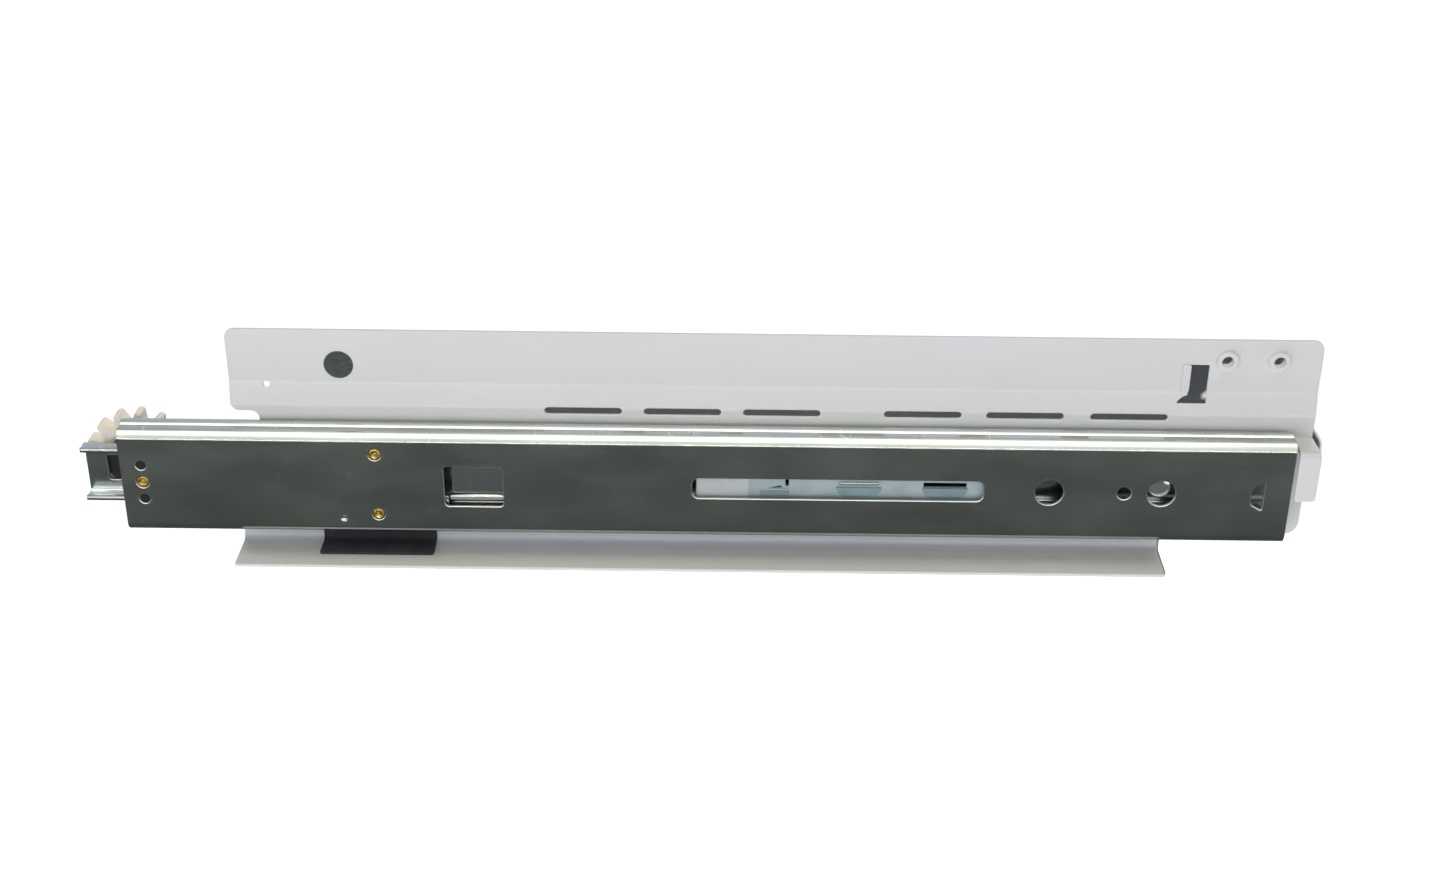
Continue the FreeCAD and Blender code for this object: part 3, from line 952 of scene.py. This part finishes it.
@dataclass
class GuideInsert:
    """Plastic guide that fills the middle channel's slot, with two half-moon wedges."""

    moon_x: Point = (-113.2, -76.3)
    moon_half: float = 10.0
    moon_drop: float = 4.6
    moon_radius: float = 2.8
    moon_sheet: float = 0.8
    moon_lean: float = 4.5
    block_x: Point = (-155.2, -143.1)
    head_length: float = 22.6
    recess: float = 0.55

    def moon(self, name: str, x: float, front: float, looks: Finishes) -> None:
        """Makes a half-moon wedge: flat along its top, round below, proud at the top.

        Args:
            name: the piece's name.
            x: its middle along the slide.
            front: the base's front face.
            looks: the shared finishes.
        """
        w, drop, radius = self.moon_half, self.moon_drop, self.moon_radius
        outline = rounded([
            (x - w, 0.0, 0.4), (x - w + 2.2, -drop, radius), (x + w - 2.2, -drop, radius), (x + w, 0.0, 0.4),
        ])
        path = SectionPath((front + 0.1, -drop), 90 + self.moon_lean, [run(drop)], drop)
        made = Blank(outline, [], self.moon_sheet, 0.25).fold(name, path)
        # the wedge takes the darker copy of the guide plastic, as painted shade
        dress(made, looks.wedge, Body.MIDDLE, "clear_guide")

    def build(self, looks: Finishes) -> None:
        """Makes the base, its raised end, the wedges, a painted highlight bar along the first wedge's top and
        the clip.
        """
        xs, ys, zs = (span("guide_insert", i) for i in range(3))
        front = ys[0] + self.recess
        moon_0, moon_1 = self.moon_x
        left, right = self.block_x
        vent = rectangle((moon_1 - 9.2, moon_1 + 9.2), (0.2, 2.4), 0.4)
        notch = rectangle((right - 1.6, right - 0.2), (0.2, 3.6), 0.2)
        slit = rounded([(left + 3.6, -0.7, 0.1), (right - 3.4, -0.7, 0.1), (right - 3.4, 0.3, 0.1)])
        base = Blank(rectangle(xs, zs, 2.2), [vent, notch, slit], 1.6, 0.4)
        made = flat_plate("guide_base", base, front)
        dress(made, looks.guide, Body.MIDDLE, "clear_guide", "guide_insert")
        for i, x in enumerate(self.moon_x):
            self.moon(f"guide_half_moon_{i}", x, front, looks)
        # a bright zinc bar along the first wedge's top: a painted highlight standing for the light caught by
        # the wedge's top edge
        highlight_bar = Blank(rectangle((moon_0 - 8.6, moon_0 + 8.6), (1.0, 2.5), 0.5), [], 1.0, 0.45, 4)
        lip = Blank(rectangle((left - 0.5, right), (-4.6, -2.0), 0.4), [], 0.5, 0.2)
        head_x, head_z = (xs[0] + 0.3, xs[0] + self.head_length), (zs[0] + 0.3, zs[1] - 0.3)
        head = Blank(rectangle(head_x, head_z, 2.0), [], 0.5, 0.2)
        block = Blank(rectangle((left + 3.0, right - 0.2), (-1.8, -0.9), 0.3), [], 0.8, 0.2)
        for name, blank, proud, finish, slot in (
            # the bar in the lighter rim finish: a painted highlight
            ("guide_spring_edge", highlight_bar, 0.75, looks.rim_highlight, "galvanised"),
            # the clip's lip in the darker guide plastic: painted shade below the clip block
            ("guide_clip_lip", lip, 0.2, looks.wedge, "clear_guide"),
            ("guide_head", head, 0.28, looks.guide_head, "clear_guide"),
            ("guide_clip_block", block, 0.45, looks.guide, "clear_guide"),
        ):
            dress(flat_plate(name, blank, front - proud), finish, Body.MIDDLE, slot)


@dataclass
class BallCages:
    """The strips that space the balls, and the balls themselves."""

    sheet: float = 0.8
    pocket: float = 2.52
    race_y: float = 9.5
    count: int = 10

    def strip(self, level: str, side: str, body: Body, looks: Finishes) -> None:
        """Makes one cage strip and dresses its balls.

        Args:
            level: outer or inner, the pair of channels that it runs between.
            side: upper or lower.
            body: the CAD body it rides on.
            looks: the shared finishes.
        """
        node, ball_node = f"{level}_cage_{side}", f"{level}_balls_{side}"
        xs, ys, zs = (span(node, i) for i in range(3))
        first, last = span(ball_node, 0)
        radius = (span(ball_node, 2)[1] - span(ball_node, 2)[0]) / 2
        pitch = (last - first - 2 * radius) / (self.count - 1)
        spots = [first + radius + pitch * i for i in range(self.count)]
        width = ys[1] - ys[0]
        pockets = [circle(x, self.race_y - ys[0], self.pocket, 32) for x in spots]
        blank = Blank(rectangle(xs, (0.0, width), 1.2), pockets, self.sheet, 0.2)
        path = SectionPath((ys[0], sum(zs) / 2), 0.0, [run(width)])
        made = blank.fold(f"{level}_cage_{side}_strip", path)
        dress(made, looks.zinc_painted_lighter, body, "cage_steel", node)
        dress(frame["nodes"][ball_node], looks.balls, body, "ball_steel")

    def build(self, looks: Finishes) -> None:
        """Makes the four strips."""
        for side in ("upper", "lower"):
            self.strip("outer", side, Body.OUTER_CAGES, looks)
            self.strip("inner", side, Body.INNER_CAGES, looks)


@dataclass
class InnerChannel:
    """The drawer member: web inboard, flanges back towards the cabinet, edges rolled into beads."""

    sheet: float = 1.5
    bend_radius: float = 1.85
    flange_z: float = 11.75
    race_y: float = 9.5
    race_dip: float = 0.3
    race_crown: float = 3.3
    race_blend: float = 1.5
    bead_radius: float = 1.1
    window_z: Point = (-5.7, 6.2)
    access: Corner = (18.0, -3.5, 4.5)

    def build(self, looks: Finishes) -> None:
        """Makes the channel."""
        xs, (tip, back) = span("inner_channel", 0), span("inner_channel", 1)
        high = span("inner_channel", 2)[1]
        web_y = back - self.sheet / 2
        reach = bead_half_width(self.race_dip, self.race_crown, self.race_blend)
        half_steps = [
            run(self.flange_z - self.bend_radius), bend(self.bend_radius, 90.0),
            run(web_y - self.bend_radius - self.race_y - reach),
        ]
        half_steps += bead(self.race_dip, self.race_crown, self.race_blend)
        half_steps.append(run(self.race_y - reach - tip - self.bead_radius))
        path = mirrored((web_y, 0.0), half_steps)
        half = path.length / 2
        holes = [
            rectangle((xs[0] + 9.2, xs[0] + 14.5), self.window_z, 1.0),
            circle(*self.access),
        ]
        blank = Blank(rectangle(xs, (-half, half), 1.6), holes, self.sheet, 0.36, 3, True)
        sheet = blank.fold("inner_channel_sheet", path)
        dress(sheet, looks.zinc_painted_lighter, Body.DRAWER, "galvanised", "inner_channel", rims=looks.rim_highlight)
        r = self.bead_radius
        for name, level in (("upper", high - r), ("lower", r - high)):
            bar = Blank(rectangle(xs, (level - r, level + r), 0.0), [], 2 * r, r - 0.05, 5)
            made = flat_plate(f"inner_channel_bead_{name}", bar, tip)
            dress(made, looks.zinc_painted_lighter, Body.DRAWER, "galvanised")


@dataclass
class DrawerBracket:
    """White folded bracket: tall plate, joggle, floor lip, stop tab, collars and hook opening."""

    sheet: float = 1.6
    joggle_radius: float = 8.8
    lip_radius: float = 4.0
    lip_fall: float = 2.08
    joggle_z: Point = (40.0, 30.5)
    slot_z: float = 29.0
    slot_length: float = 33.0
    slot_half: float = 1.5
    slot_x: tuple[float, ...] = (-231.7, -189.2, -146.7, -86.4, -42.7, 1.8)
    lip_front: float = 20.3
    collar_x: Point = (40.7, 62.7)
    collar_z: float = 55.5
    tab_x: Point = (72.3, 81.3)
    tab_top: float = 20.9
    tab_foot: float = -2.0
    tab_y: float = -2.2
    tab_bend: float = 2.6
    tab_root: float = 1.8
    pilot: Point = (-366.7, 39.0)
    access: Corner = (18.0, -3.5, 4.8)
    pad_drop: float = 8.5
    pad_thick: float = 1.15
    rivet_x: tuple[float, ...] = (-340.0, -210.0, -50.0, 62.0)
    label_proud: float = 0.18
    pad_x: Point = (-347.2, -297.5)

    def path(self) -> SectionPath:
        """The folded section, walked from the top edge down to the lip's tip."""
        low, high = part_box("drawer_bracket")
        top, tip = high.z / MM, low.y / MM
        upper_y = high.y / MM - self.sheet / 2
        lower_y = span("inner_channel", 1)[1] + self.sheet / 2
        fall = self.joggle_z[0] - self.joggle_z[1]
        turn = math.degrees(math.atan2(upper_y - lower_y, fall))
        reach = self.joggle_radius * math.tan(math.radians(turn / 2))
        slope = math.hypot(upper_y - lower_y, fall) - 2 * reach
        floor_z = span("edge_pad", 2)[1] - self.pad_drop - self.sheet / 2
        return SectionPath((upper_y, top), -90.0, [
            run(top - self.joggle_z[0] - reach), bend(self.joggle_radius, -turn), run(slope),
            bend(self.joggle_radius, turn), run(self.joggle_z[1] - reach - floor_z - self.lip_radius),
            bend(self.lip_radius, -(90.0 - self.lip_fall)), run(lower_y - self.lip_radius - tip),
        ])

    def build(self, looks: Finishes) -> None:
        """Makes the sheet, the tab, the collars, the rivets, the pad and the label."""
        path = self.path()
        rear, front = span("drawer_bracket", 0)
        at = path.where
        edge = path.length - 0.02
        outline = rounded([
            (rear, 0.0, 4.5), (rear, at(27.5), 4.0), (rear + 12, at(27.5), 3.5), (rear + 12, at(-24.0), 3.0),
            (rear, at(-24.0), 2.0), (rear, edge, 2.0), (self.lip_front, edge, 2.0),
            (self.lip_front, at(-27.0), 2.5), (front, at(-27.0), 6.0), (front, 0.0, 4.5),
        ], 9.0)
        half = self.slot_length / 2
        row = (at(self.slot_z + self.slot_half), at(self.slot_z - self.slot_half))
        holes = [rectangle((x - half, x + half), row, self.slot_half * 0.98) for x in self.slot_x]
        holes.append(circle(self.pilot[0], at(self.pilot[1]), 1.35, 24))
        holes.append(circle(self.access[0], at(self.access[1]), self.access[2]))
        holes += [circle(x, at(self.collar_z), 3.2, 40) for x in self.collar_x]
        holes.append(rounded([
            (26.1, at(52.8), 0.5), (26.1, at(38.7), 0.5), (24.0, at(38.0), 1.6), (21.8, at(36.0), 0.3),
            (21.8, at(35.2), 0.3), (34.0, at(35.2), 0.5), (34.0, at(52.8), 0.5),
        ]))
        blank = Blank(outline, holes, self.sheet, 0.55, 4)
        dress(blank.fold("bracket_sheet", path), looks.white, Body.DRAWER, "powder_white", "drawer_bracket")
        self.tab(looks)
        self.collars(looks)
        self.rivets(looks)
        self.pad(looks)
        self.label(looks)

    def tab(self, looks: Finishes) -> None:
        """Makes the stop tab in front of the outer channel: a shelf that turns down."""
        root_y = span("inner_channel", 1)[1] + self.sheet / 2
        top = self.tab_top - self.sheet / 2
        face = self.tab_y + self.sheet / 2
        root, radius = self.tab_root, self.tab_bend
        path = SectionPath((root_y, top - root), 90.0, [
            bend(root, 90.0), run(root_y - root - face - radius), bend(radius, 90.0),
            run(top - radius - self.tab_foot),
        ])
        (x0, x1), length = self.tab_x, path.length
        outline = rounded([(x0, 0, 0), (x1, 0, 0), (x1, length, 1.6), (x0, length, 1.6)])
        made = Blank(outline, [], self.sheet, 0.55, 4).fold("bracket_stop_tab", path)
        dress(made, looks.white, Body.DRAWER, "powder_white")

    def collars(self, looks: Finishes) -> None:
        """Makes the extruded screw collars, and the lanced strip beside the hook opening."""
        plate = span("drawer_bracket", 1)[1] - self.sheet
        back = plate + self.sheet - 0.1
        for i, x in enumerate(self.collar_x):
            profile = rounded([
                (2.5, plate - 3.0, 0.4), (2.5, back, 0.6), (3.9, back, 0), (3.9, plate + 0.2, 0),
                (6.2, plate + 0.1, 0), (6.2, plate - 0.02, 0), (4.7, plate - 0.02, 1.2),
                (4.6, plate - 3.0, 0.9),
            ])
            made = lathe(f"bracket_collar_{i}", profile, x, self.collar_z)
            dress(made, looks.white, Body.DRAWER, "powder_white")
        strip = Blank(rectangle((22.6, 26.2), (40.2, 53.0), 0.9), [], 1.2, 0.5)
        dress(flat_plate("bracket_lance", strip, plate - 1.0), looks.white, Body.DRAWER, "powder_white")

    def rivets(self, looks: Finishes) -> None:
        """Makes the domed rivets that hold the bracket on the inner channel."""
        joint = span("inner_channel", 1)[1]
        web, back = joint - InnerChannel.sheet, joint + self.sheet
        profile = rounded([
            (0, back + 1.15, 0), (2.6, back + 1.1, 1.5), (4.6, back + 0.05, 0.4), (2.5, back, 0),
            (2.5, web, 0), (4.2, web, 0.2), (4.0, web - 0.85, 0.7), (0, web - 0.9, 0),
        ], 15.0)
        for i, x in enumerate(self.rivet_x):
            made = lathe(f"bracket_rivet_{i}", profile, x, 0.0)
            stands_for = ["bracket_rivets"] if i == 0 else []
            dress(made, looks.zinc_painted_lighter, Body.DRAWER, "galvanised", *stands_for)

    def pad(self, looks: Finishes) -> None:
        """Makes the foam pad in the bend between plate and lip."""
        thick, drop = self.pad_thick, self.pad_drop
        plate = span("inner_channel", 1)[1]
        floor_z = span("edge_pad", 2)[1] - drop
        radius = self.lip_radius - self.sheet / 2 - thick / 2
        path = SectionPath((plate - thick / 2 - 0.02, floor_z + drop), -90.0, [
            run(drop - radius - thick / 2), bend(radius, -(90.0 - self.lip_fall)),
            run(plate - radius - thick / 2),
        ])
        length = path.length - 1.5
        blank = Blank(rectangle(self.pad_x, (0.3, length), 1.0), [], thick, 0.35)
        foam = dress(blank.fold("edge_pad_foam", path), looks.foam, Body.DRAWER, "black_foam", "edge_pad")

    def label(self, looks: Finishes) -> None:
        """Makes the round film label, a little proud of the paint, with a pressed rim."""
        low, high = (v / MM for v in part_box("label_disc"))
        x, z, r = (low.x + high.x) / 2, (low.z + high.z) / 2, (high.x - low.x) / 2
        face = span("drawer_bracket", 1)[1] - self.sheet - self.label_proud
        profile = rounded([
            (0, face + 0.04, 0), (r - 0.7, face + 0.04, 0.2), (r - 0.5, face, 0.1), (r, face, 0.08),
            (r, face + 0.3, 0), (0, face + 0.3, 0),
        ], 20.0)
        dress(lathe("label_film", profile, x, z, 64), looks.film, Body.DRAWER, "label", "label_disc")


@dataclass
class Pinion:
    """Moulded toothed wheel with rim, web, ribs and hub, and the stud it turns on."""

    teeth: int = 15
    module: float = 2.7
    rim: float = 14.4
    hub: float = 7.0
    bore: float = 4.06
    ribs: int = 5
    rest_turn: float = 5.3
    rib_half: float = 0.7
    stud_radius: float = 4.0
    ring_radius: float = 6.5
    ring_gap: float = 48.0

    def outline(self, x: float, z: float) -> Loop:
        """The teeth, with rounded tips, round an axis at (x, z)."""
        pitch = self.module * self.teeth / 2
        tip, root = pitch + self.module, pitch - 1.25 * self.module
        step = 2 * math.pi / self.teeth
        corners: list[Corner] = []
        for i in range(self.teeth):
            for radius, share, rounding in (
                (root, -0.4, 0.6), (tip, -0.14, 1.2), (tip, 0.14, 1.2), (root, 0.4, 0.6),
            ):
                angle = step * (i + share) + math.radians(self.rest_turn)
                corners.append((x + radius * math.sin(angle), z + radius * math.cos(angle), rounding))
        return rounded(corners, 18.0)

    def build(self, looks: Finishes) -> None:
        """Makes the wheel on its body, and the stud, washer and ring on the drawer."""
        low, high = (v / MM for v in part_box("pinion_gear"))
        x, z = sum(span("gear_axle", 0)) / 2, sum(span("gear_axle", 2)) / 2
        y0, y1 = low.y, high.y
        rim = Blank(self.outline(x, z), [circle(x, z, self.rim, 72)], y1 - y0, 0.5)
        dress(flat_plate("pinion_rim", rim, y0), looks.acetal, Body.GEAR, "cream_acetal", "pinion_gear")
        inner, outer = self.hub - 0.3, self.rim + 0.3
        web = rounded([
            (self.bore, y0, 0.3), (self.bore, y1, 0.3), (self.hub, y1, 0.5), (self.hub, y0 + 2.6, 0.8),
            (outer, y0 + 2.6, 0.0), (outer, y0 + 0.4, 0.0), (self.hub, y0 + 0.4, 0.3), (self.hub, y0, 0.3),
        ], 18.0)
        dress(lathe("pinion_web", web, x, z, 72), looks.acetal, Body.GEAR, "cream_acetal")
        for i in range(self.ribs):
            outline = rectangle((x + inner, x + outer), (z - self.rib_half, z + self.rib_half), 0.1)
            rib = Blank(outline, [], y1 - y0 - 3.0, 0.3)
            made = flat_plate(f"pinion_rib_{i}", rib, y0 + 1.5)
            turn = Matrix.Rotation(2 * math.pi * i / self.ribs, 4, "Y")
            hub = Matrix.Translation((x * MM, 0, z * MM))
            made.data.transform(hub @ turn @ hub.inverted())
            dress(made, looks.acetal, Body.GEAR, "cream_acetal")
        self.stud(x, z, looks)

    def stud(self, x: float, z: float, looks: Finishes) -> None:
        """Makes the shouldered stud, its washer and the retaining ring.

        Args:
            x: the axis's place along the slide.
            z: the axis's height.
            looks: the shared finishes.
        """
        y0, y1 = span("gear_axle", 1)
        back = span("inner_channel", 1)[1]
        groove = span("gear_clip", 1)[0]
        wide = self.stud_radius
        profile = rounded([
            (0, y0, 0), (3.0, y0, 0.3), (3.0, y0 + 0.8, 0), (2.4, y0 + 0.8, 0), (2.4, back, 0),
            (wide, back, 0.1), (wide, groove, 0), (3.2, groove, 0), (3.2, groove + 0.6, 0),
            (wide, groove + 0.6, 0.1), (wide, y1, 0.5), (0, y1, 0),
        ], 20.0)
        dress(lathe("gear_stud", profile, x, z), looks.zinc_painted_lighter, Body.DRAWER, "galvanised", "gear_axle")
        (x0, x1), (w0, w1) = span("gear_washer", 0), span("gear_washer", 1)
        rim, bore = (x1 - x0) / 2, wide + 0.1
        ring = rounded([(bore, w0, 0.1), (rim, w0, 0.2), (rim, w1, 0.2), (bore, w1, 0.1)], 20.0)
        made = lathe("gear_thrust_washer", ring, x, z)
        dress(made, looks.nylon, Body.DRAWER, "black_nylon", "gear_washer")
        steps = 40
        start, sweep = 90 + self.ring_gap / 2, 360 - self.ring_gap
        arc = [math.radians(start + sweep * i / steps) for i in range(steps + 1)]
        outline = []
        for radius, turns in ((self.ring_radius, arc), (3.3, arc[::-1])):
            outline += [(x + radius * math.cos(t), z + radius * math.sin(t)) for t in turns]
        made = flat_plate("gear_retaining_ring", Blank(outline, [], 0.5, 0.15, 2), groove + 0.03)
        dress(made, looks.zinc_painted_lighter, Body.DRAWER, "cage_steel", "gear_clip")


# -------------------------------------------------------------------------------- studio


@dataclass(frozen=True)
class Lamp:
    """One rectangular soft light, aimed at the object's middle.

    The azimuth is counted from the front towards the right, size and distance are in
    metres, and the radiance is what a polished surface sees in it.
    """

    name: str
    azimuth: float
    elevation: float
    size: Point
    radiance: float
    colour: str = "#ffffff"
    distance: float = 1.5
    diffuse: bool = True
    glossy: bool = True


@dataclass
class Studio:
    """Pale floor, soft lights and the camera."""

    floor_half: float = 6.0
    floor_gap: float = 0.0004
    paper: tuple[str, str] = ("#f2f2f2", "#f5f5f5")
    lens: float = 48.01
    azimuth: float = 0.09
    elevation: float = 26.525
    roll: float = 0.627
    distance: float = 814.53
    target: tuple[float, float, float] = (-171.906, 0.0, 20.973)
    sun_azimuth: float = -18.5
    sun_elevation: float = 23.0
    sun_strength: float = 9.4
    sun_angle: float = 1.0
    below: str = "#555957"
    above: str = "#3d4044"
    band_gain: float = 1.45
    front_glow: str = "#fbf9f0"
    bands: tuple[tuple[float, str], ...] = (
        (-0.10, "#c4c8cc"), (0.15, "#f2f6f8"), (0.33, "#d2d7e2"), (0.43, "#eef1f8"), (0.49, "#c4cad8"),
        (0.56, "#f4f8fa"), (0.72, "#ccd1da"), (1.0, "#f4f6f6"),
    )
    lamps: tuple[Lamp, ...] = (
        Lamp("overhead_softbox", 0.0, 82.0, (1.9, 0.75), 1.75, "#fff8ea"),
        Lamp("front_softbox", -12.0, 46.0, (1.7, 0.6), 1.25, "#fff4e0"),
        Lamp("front_fill", -10.0, 12.0, (1.5, 1.0), 1.2, "#d8e5ff", glossy=False),
        Lamp("back_fill", 180.0, 32.0, (2.0, 1.1), 1.7, "#fffdf8", glossy=False),
        Lamp("bend_strip", 0.0, 62.0, (2.2, 0.16), 4.0, "#fffbea", diffuse=False),
        Lamp("low_strip", 0.0, -9.0, (1.6, 0.03), 11.0, "#ffffff", 0.72, diffuse=False),
    )

    def floor(self) -> bpy.types.Object:
        """A large pale sheet just under the lip."""
        level = CAD_BOX[0].z - self.floor_gap
        bpy.ops.mesh.primitive_plane_add(size=2 * self.floor_half, location=(0, 0, level))
        plane = bpy.context.object
        plane.name = "studio_floor"
        material, tree, shader = begin("studio_paper")
        grain = noise(tree, (3.0, 3.0, 3.0), 2.0)
        colour = two_tone(tree, grain, *self.paper)
        feed(tree, shader, {"Base Color": colour, "Roughness": 0.9, "Specular IOR Level": 0.1})
        plane.data.materials.append(material)
        plane.visible_glossy = False
        plane.visible_shadow = False
        return plane

    def aim(self, azimuth: float, elevation: float) -> Vector:
        """The direction from the object towards that azimuth and elevation, in degrees."""
        turn, lift = math.radians(azimuth), math.radians(elevation)
        return Vector((math.sin(turn) * math.cos(lift), -math.cos(turn) * math.cos(lift), math.sin(lift)))

    def soft_light(self, lamp: Lamp, receivers: bpy.types.Collection) -> None:
        """Adds one soft light.

        Args:
            lamp: what it is and where it stands.
            receivers: the objects that it lights.
        """
        data = bpy.data.lights.new(lamp.name, "AREA")
        data.shape = "RECTANGLE"
        data.size, data.size_y = lamp.size
        data.energy = lamp.radiance * math.pi * lamp.size[0] * lamp.size[1]
        data.color = linear(lamp.colour)[:3]
        made = bpy.data.objects.new(lamp.name, data)
        towards = self.aim(lamp.azimuth, lamp.elevation)
        middle = (CAD_BOX[0] + CAD_BOX[1]) / 2
        made.location = middle + towards * lamp.distance
        made.rotation_euler = towards.to_track_quat("Z", "Y").to_euler()
        made.visible_camera = False
        made.visible_diffuse = lamp.diffuse
        made.visible_glossy = lamp.glossy
        made.light_linking.receiver_collection = receivers
        bpy.context.scene.collection.objects.link(made)

    def build(self) -> None:
        """Sets the floor, the lights, the surround and the camera."""
        parts = bpy.data.collections.new("parts_to_light")
        for made in bpy.data.objects:
            if made.type == "MESH":
                parts.objects.link(made)
        ground = bpy.data.collections.new("floor_to_light")
        ground.objects.link(self.floor())
        for lamp in self.lamps:
            self.soft_light(lamp, parts)
        sun = bpy.data.lights.new("floor_sun", "SUN")
        sun.energy, sun.angle = self.sun_strength, math.radians(self.sun_angle)
        made = bpy.data.objects.new("floor_sun", sun)
        towards = self.aim(self.sun_azimuth, self.sun_elevation)
        made.rotation_euler = towards.to_track_quat("Z", "Y").to_euler()
        made.light_linking.receiver_collection = ground
        bpy.context.scene.collection.objects.link(made)
        self.surround()
        self.camera()
        bpy.context.scene.view_settings.view_transform = "Standard"

    def surround(self) -> None:
        """Soft light from all round, with the paler bands that polished metal shows."""
        world = bpy.data.worlds.new("studio_surround")
        bpy.context.scene.world = world
        world.use_nodes = True
        tree = world.node_tree
        sky = tree.nodes["Background"]
        split = add(tree, "SeparateXYZ", {0: add(tree, "TexCoord").outputs["Generated"]})
        height = split.outputs["Z"]
        above = add(tree, "MapRange", {0: height, 1: -0.14, 2: -0.04})
        lower, upper = linear(self.below), linear(self.above)
        soft = add(tree, "Mix", {0: above, 6: lower, 7: upper}, data_type="RGBA").outputs[2]
        bands = add(tree, "ValToRGB", {0: add(tree, "MapRange", {0: height, 1: -1.0})})
        stops = bands.color_ramp.elements
        while len(stops) < len(self.bands):
            stops.new(0.5)
        for stop, (level, colour) in zip(stops, self.bands):
            stop.position = (level + 1) / 2
            stop.color = linear(colour)
        side = add(tree, "MapRange", {0: split.outputs["X"], 1: -0.34, 2: 0.3, 3: 0.62, 4: 1.0})
        banded = add(tree, "Mix", {0: side, 6: linear("#000000"), 7: bands}, data_type="RGBA").outputs[2]
        behind = add(tree, "MapRange", {0: split.outputs["Y"], 1: -0.1, 2: 0.25})
        glow = linear(self.front_glow)
        bright = add(tree, "Mix", {0: behind, 6: glow, 7: banded}, data_type="RGBA").outputs[2]
        gained = add(tree, "VectorMath", {0: bright, 3: self.band_gain}, operation="SCALE")
        sharp = add(tree, "Mix", {0: above, 6: lower, 7: gained}, data_type="RGBA").outputs[2]
        ray = add(tree, "LightPath").outputs
        lit = add(tree, "Mix", {0: ray["Is Glossy Ray"], 6: soft, 7: sharp}, data_type="RGBA").outputs[2]
        seen = add(tree, "Mix", {0: ray["Is Camera Ray"], 6: lit, 7: linear("#ffffff")}, data_type="RGBA")
        feed(tree, sky, {"Color": seen.outputs[2], "Strength": 1.0})

    def camera(self) -> None:
        """The camera, turned a little about its own axis."""
        data = bpy.data.cameras.new("camera")
        data.lens = self.lens
        data.sensor_width = 36.0
        data.clip_start = 0.01
        eye = bpy.data.objects.new("camera", data)
        back = self.aim(self.azimuth, self.elevation)
        eye.location = (Vector(self.target) + back * self.distance) * MM
        level = (-back).to_track_quat("-Z", "Y").to_matrix()
        eye.rotation_euler = (level @ Matrix.Rotation(math.radians(self.roll), 3, "Z")).to_euler()
        bpy.context.scene.collection.objects.link(eye)
        bpy.context.scene.camera = eye


def main() -> None:
    """Builds every sub-assembly, then the studio."""
    logging.basicConfig(level=logging.INFO, format="%(name)s: %(message)s")
    looks = Finishes()
    outer = OuterChannel()
    outer.build(looks)
    MiddleChannel().build(outer, looks)
    GuideInsert().build(looks)
    BallCages().build(looks)
    InnerChannel().build(looks)
    DrawerBracket().build(looks)
    Pinion().build(looks)
    Studio().build()


if __name__ == "__main__":
    main()
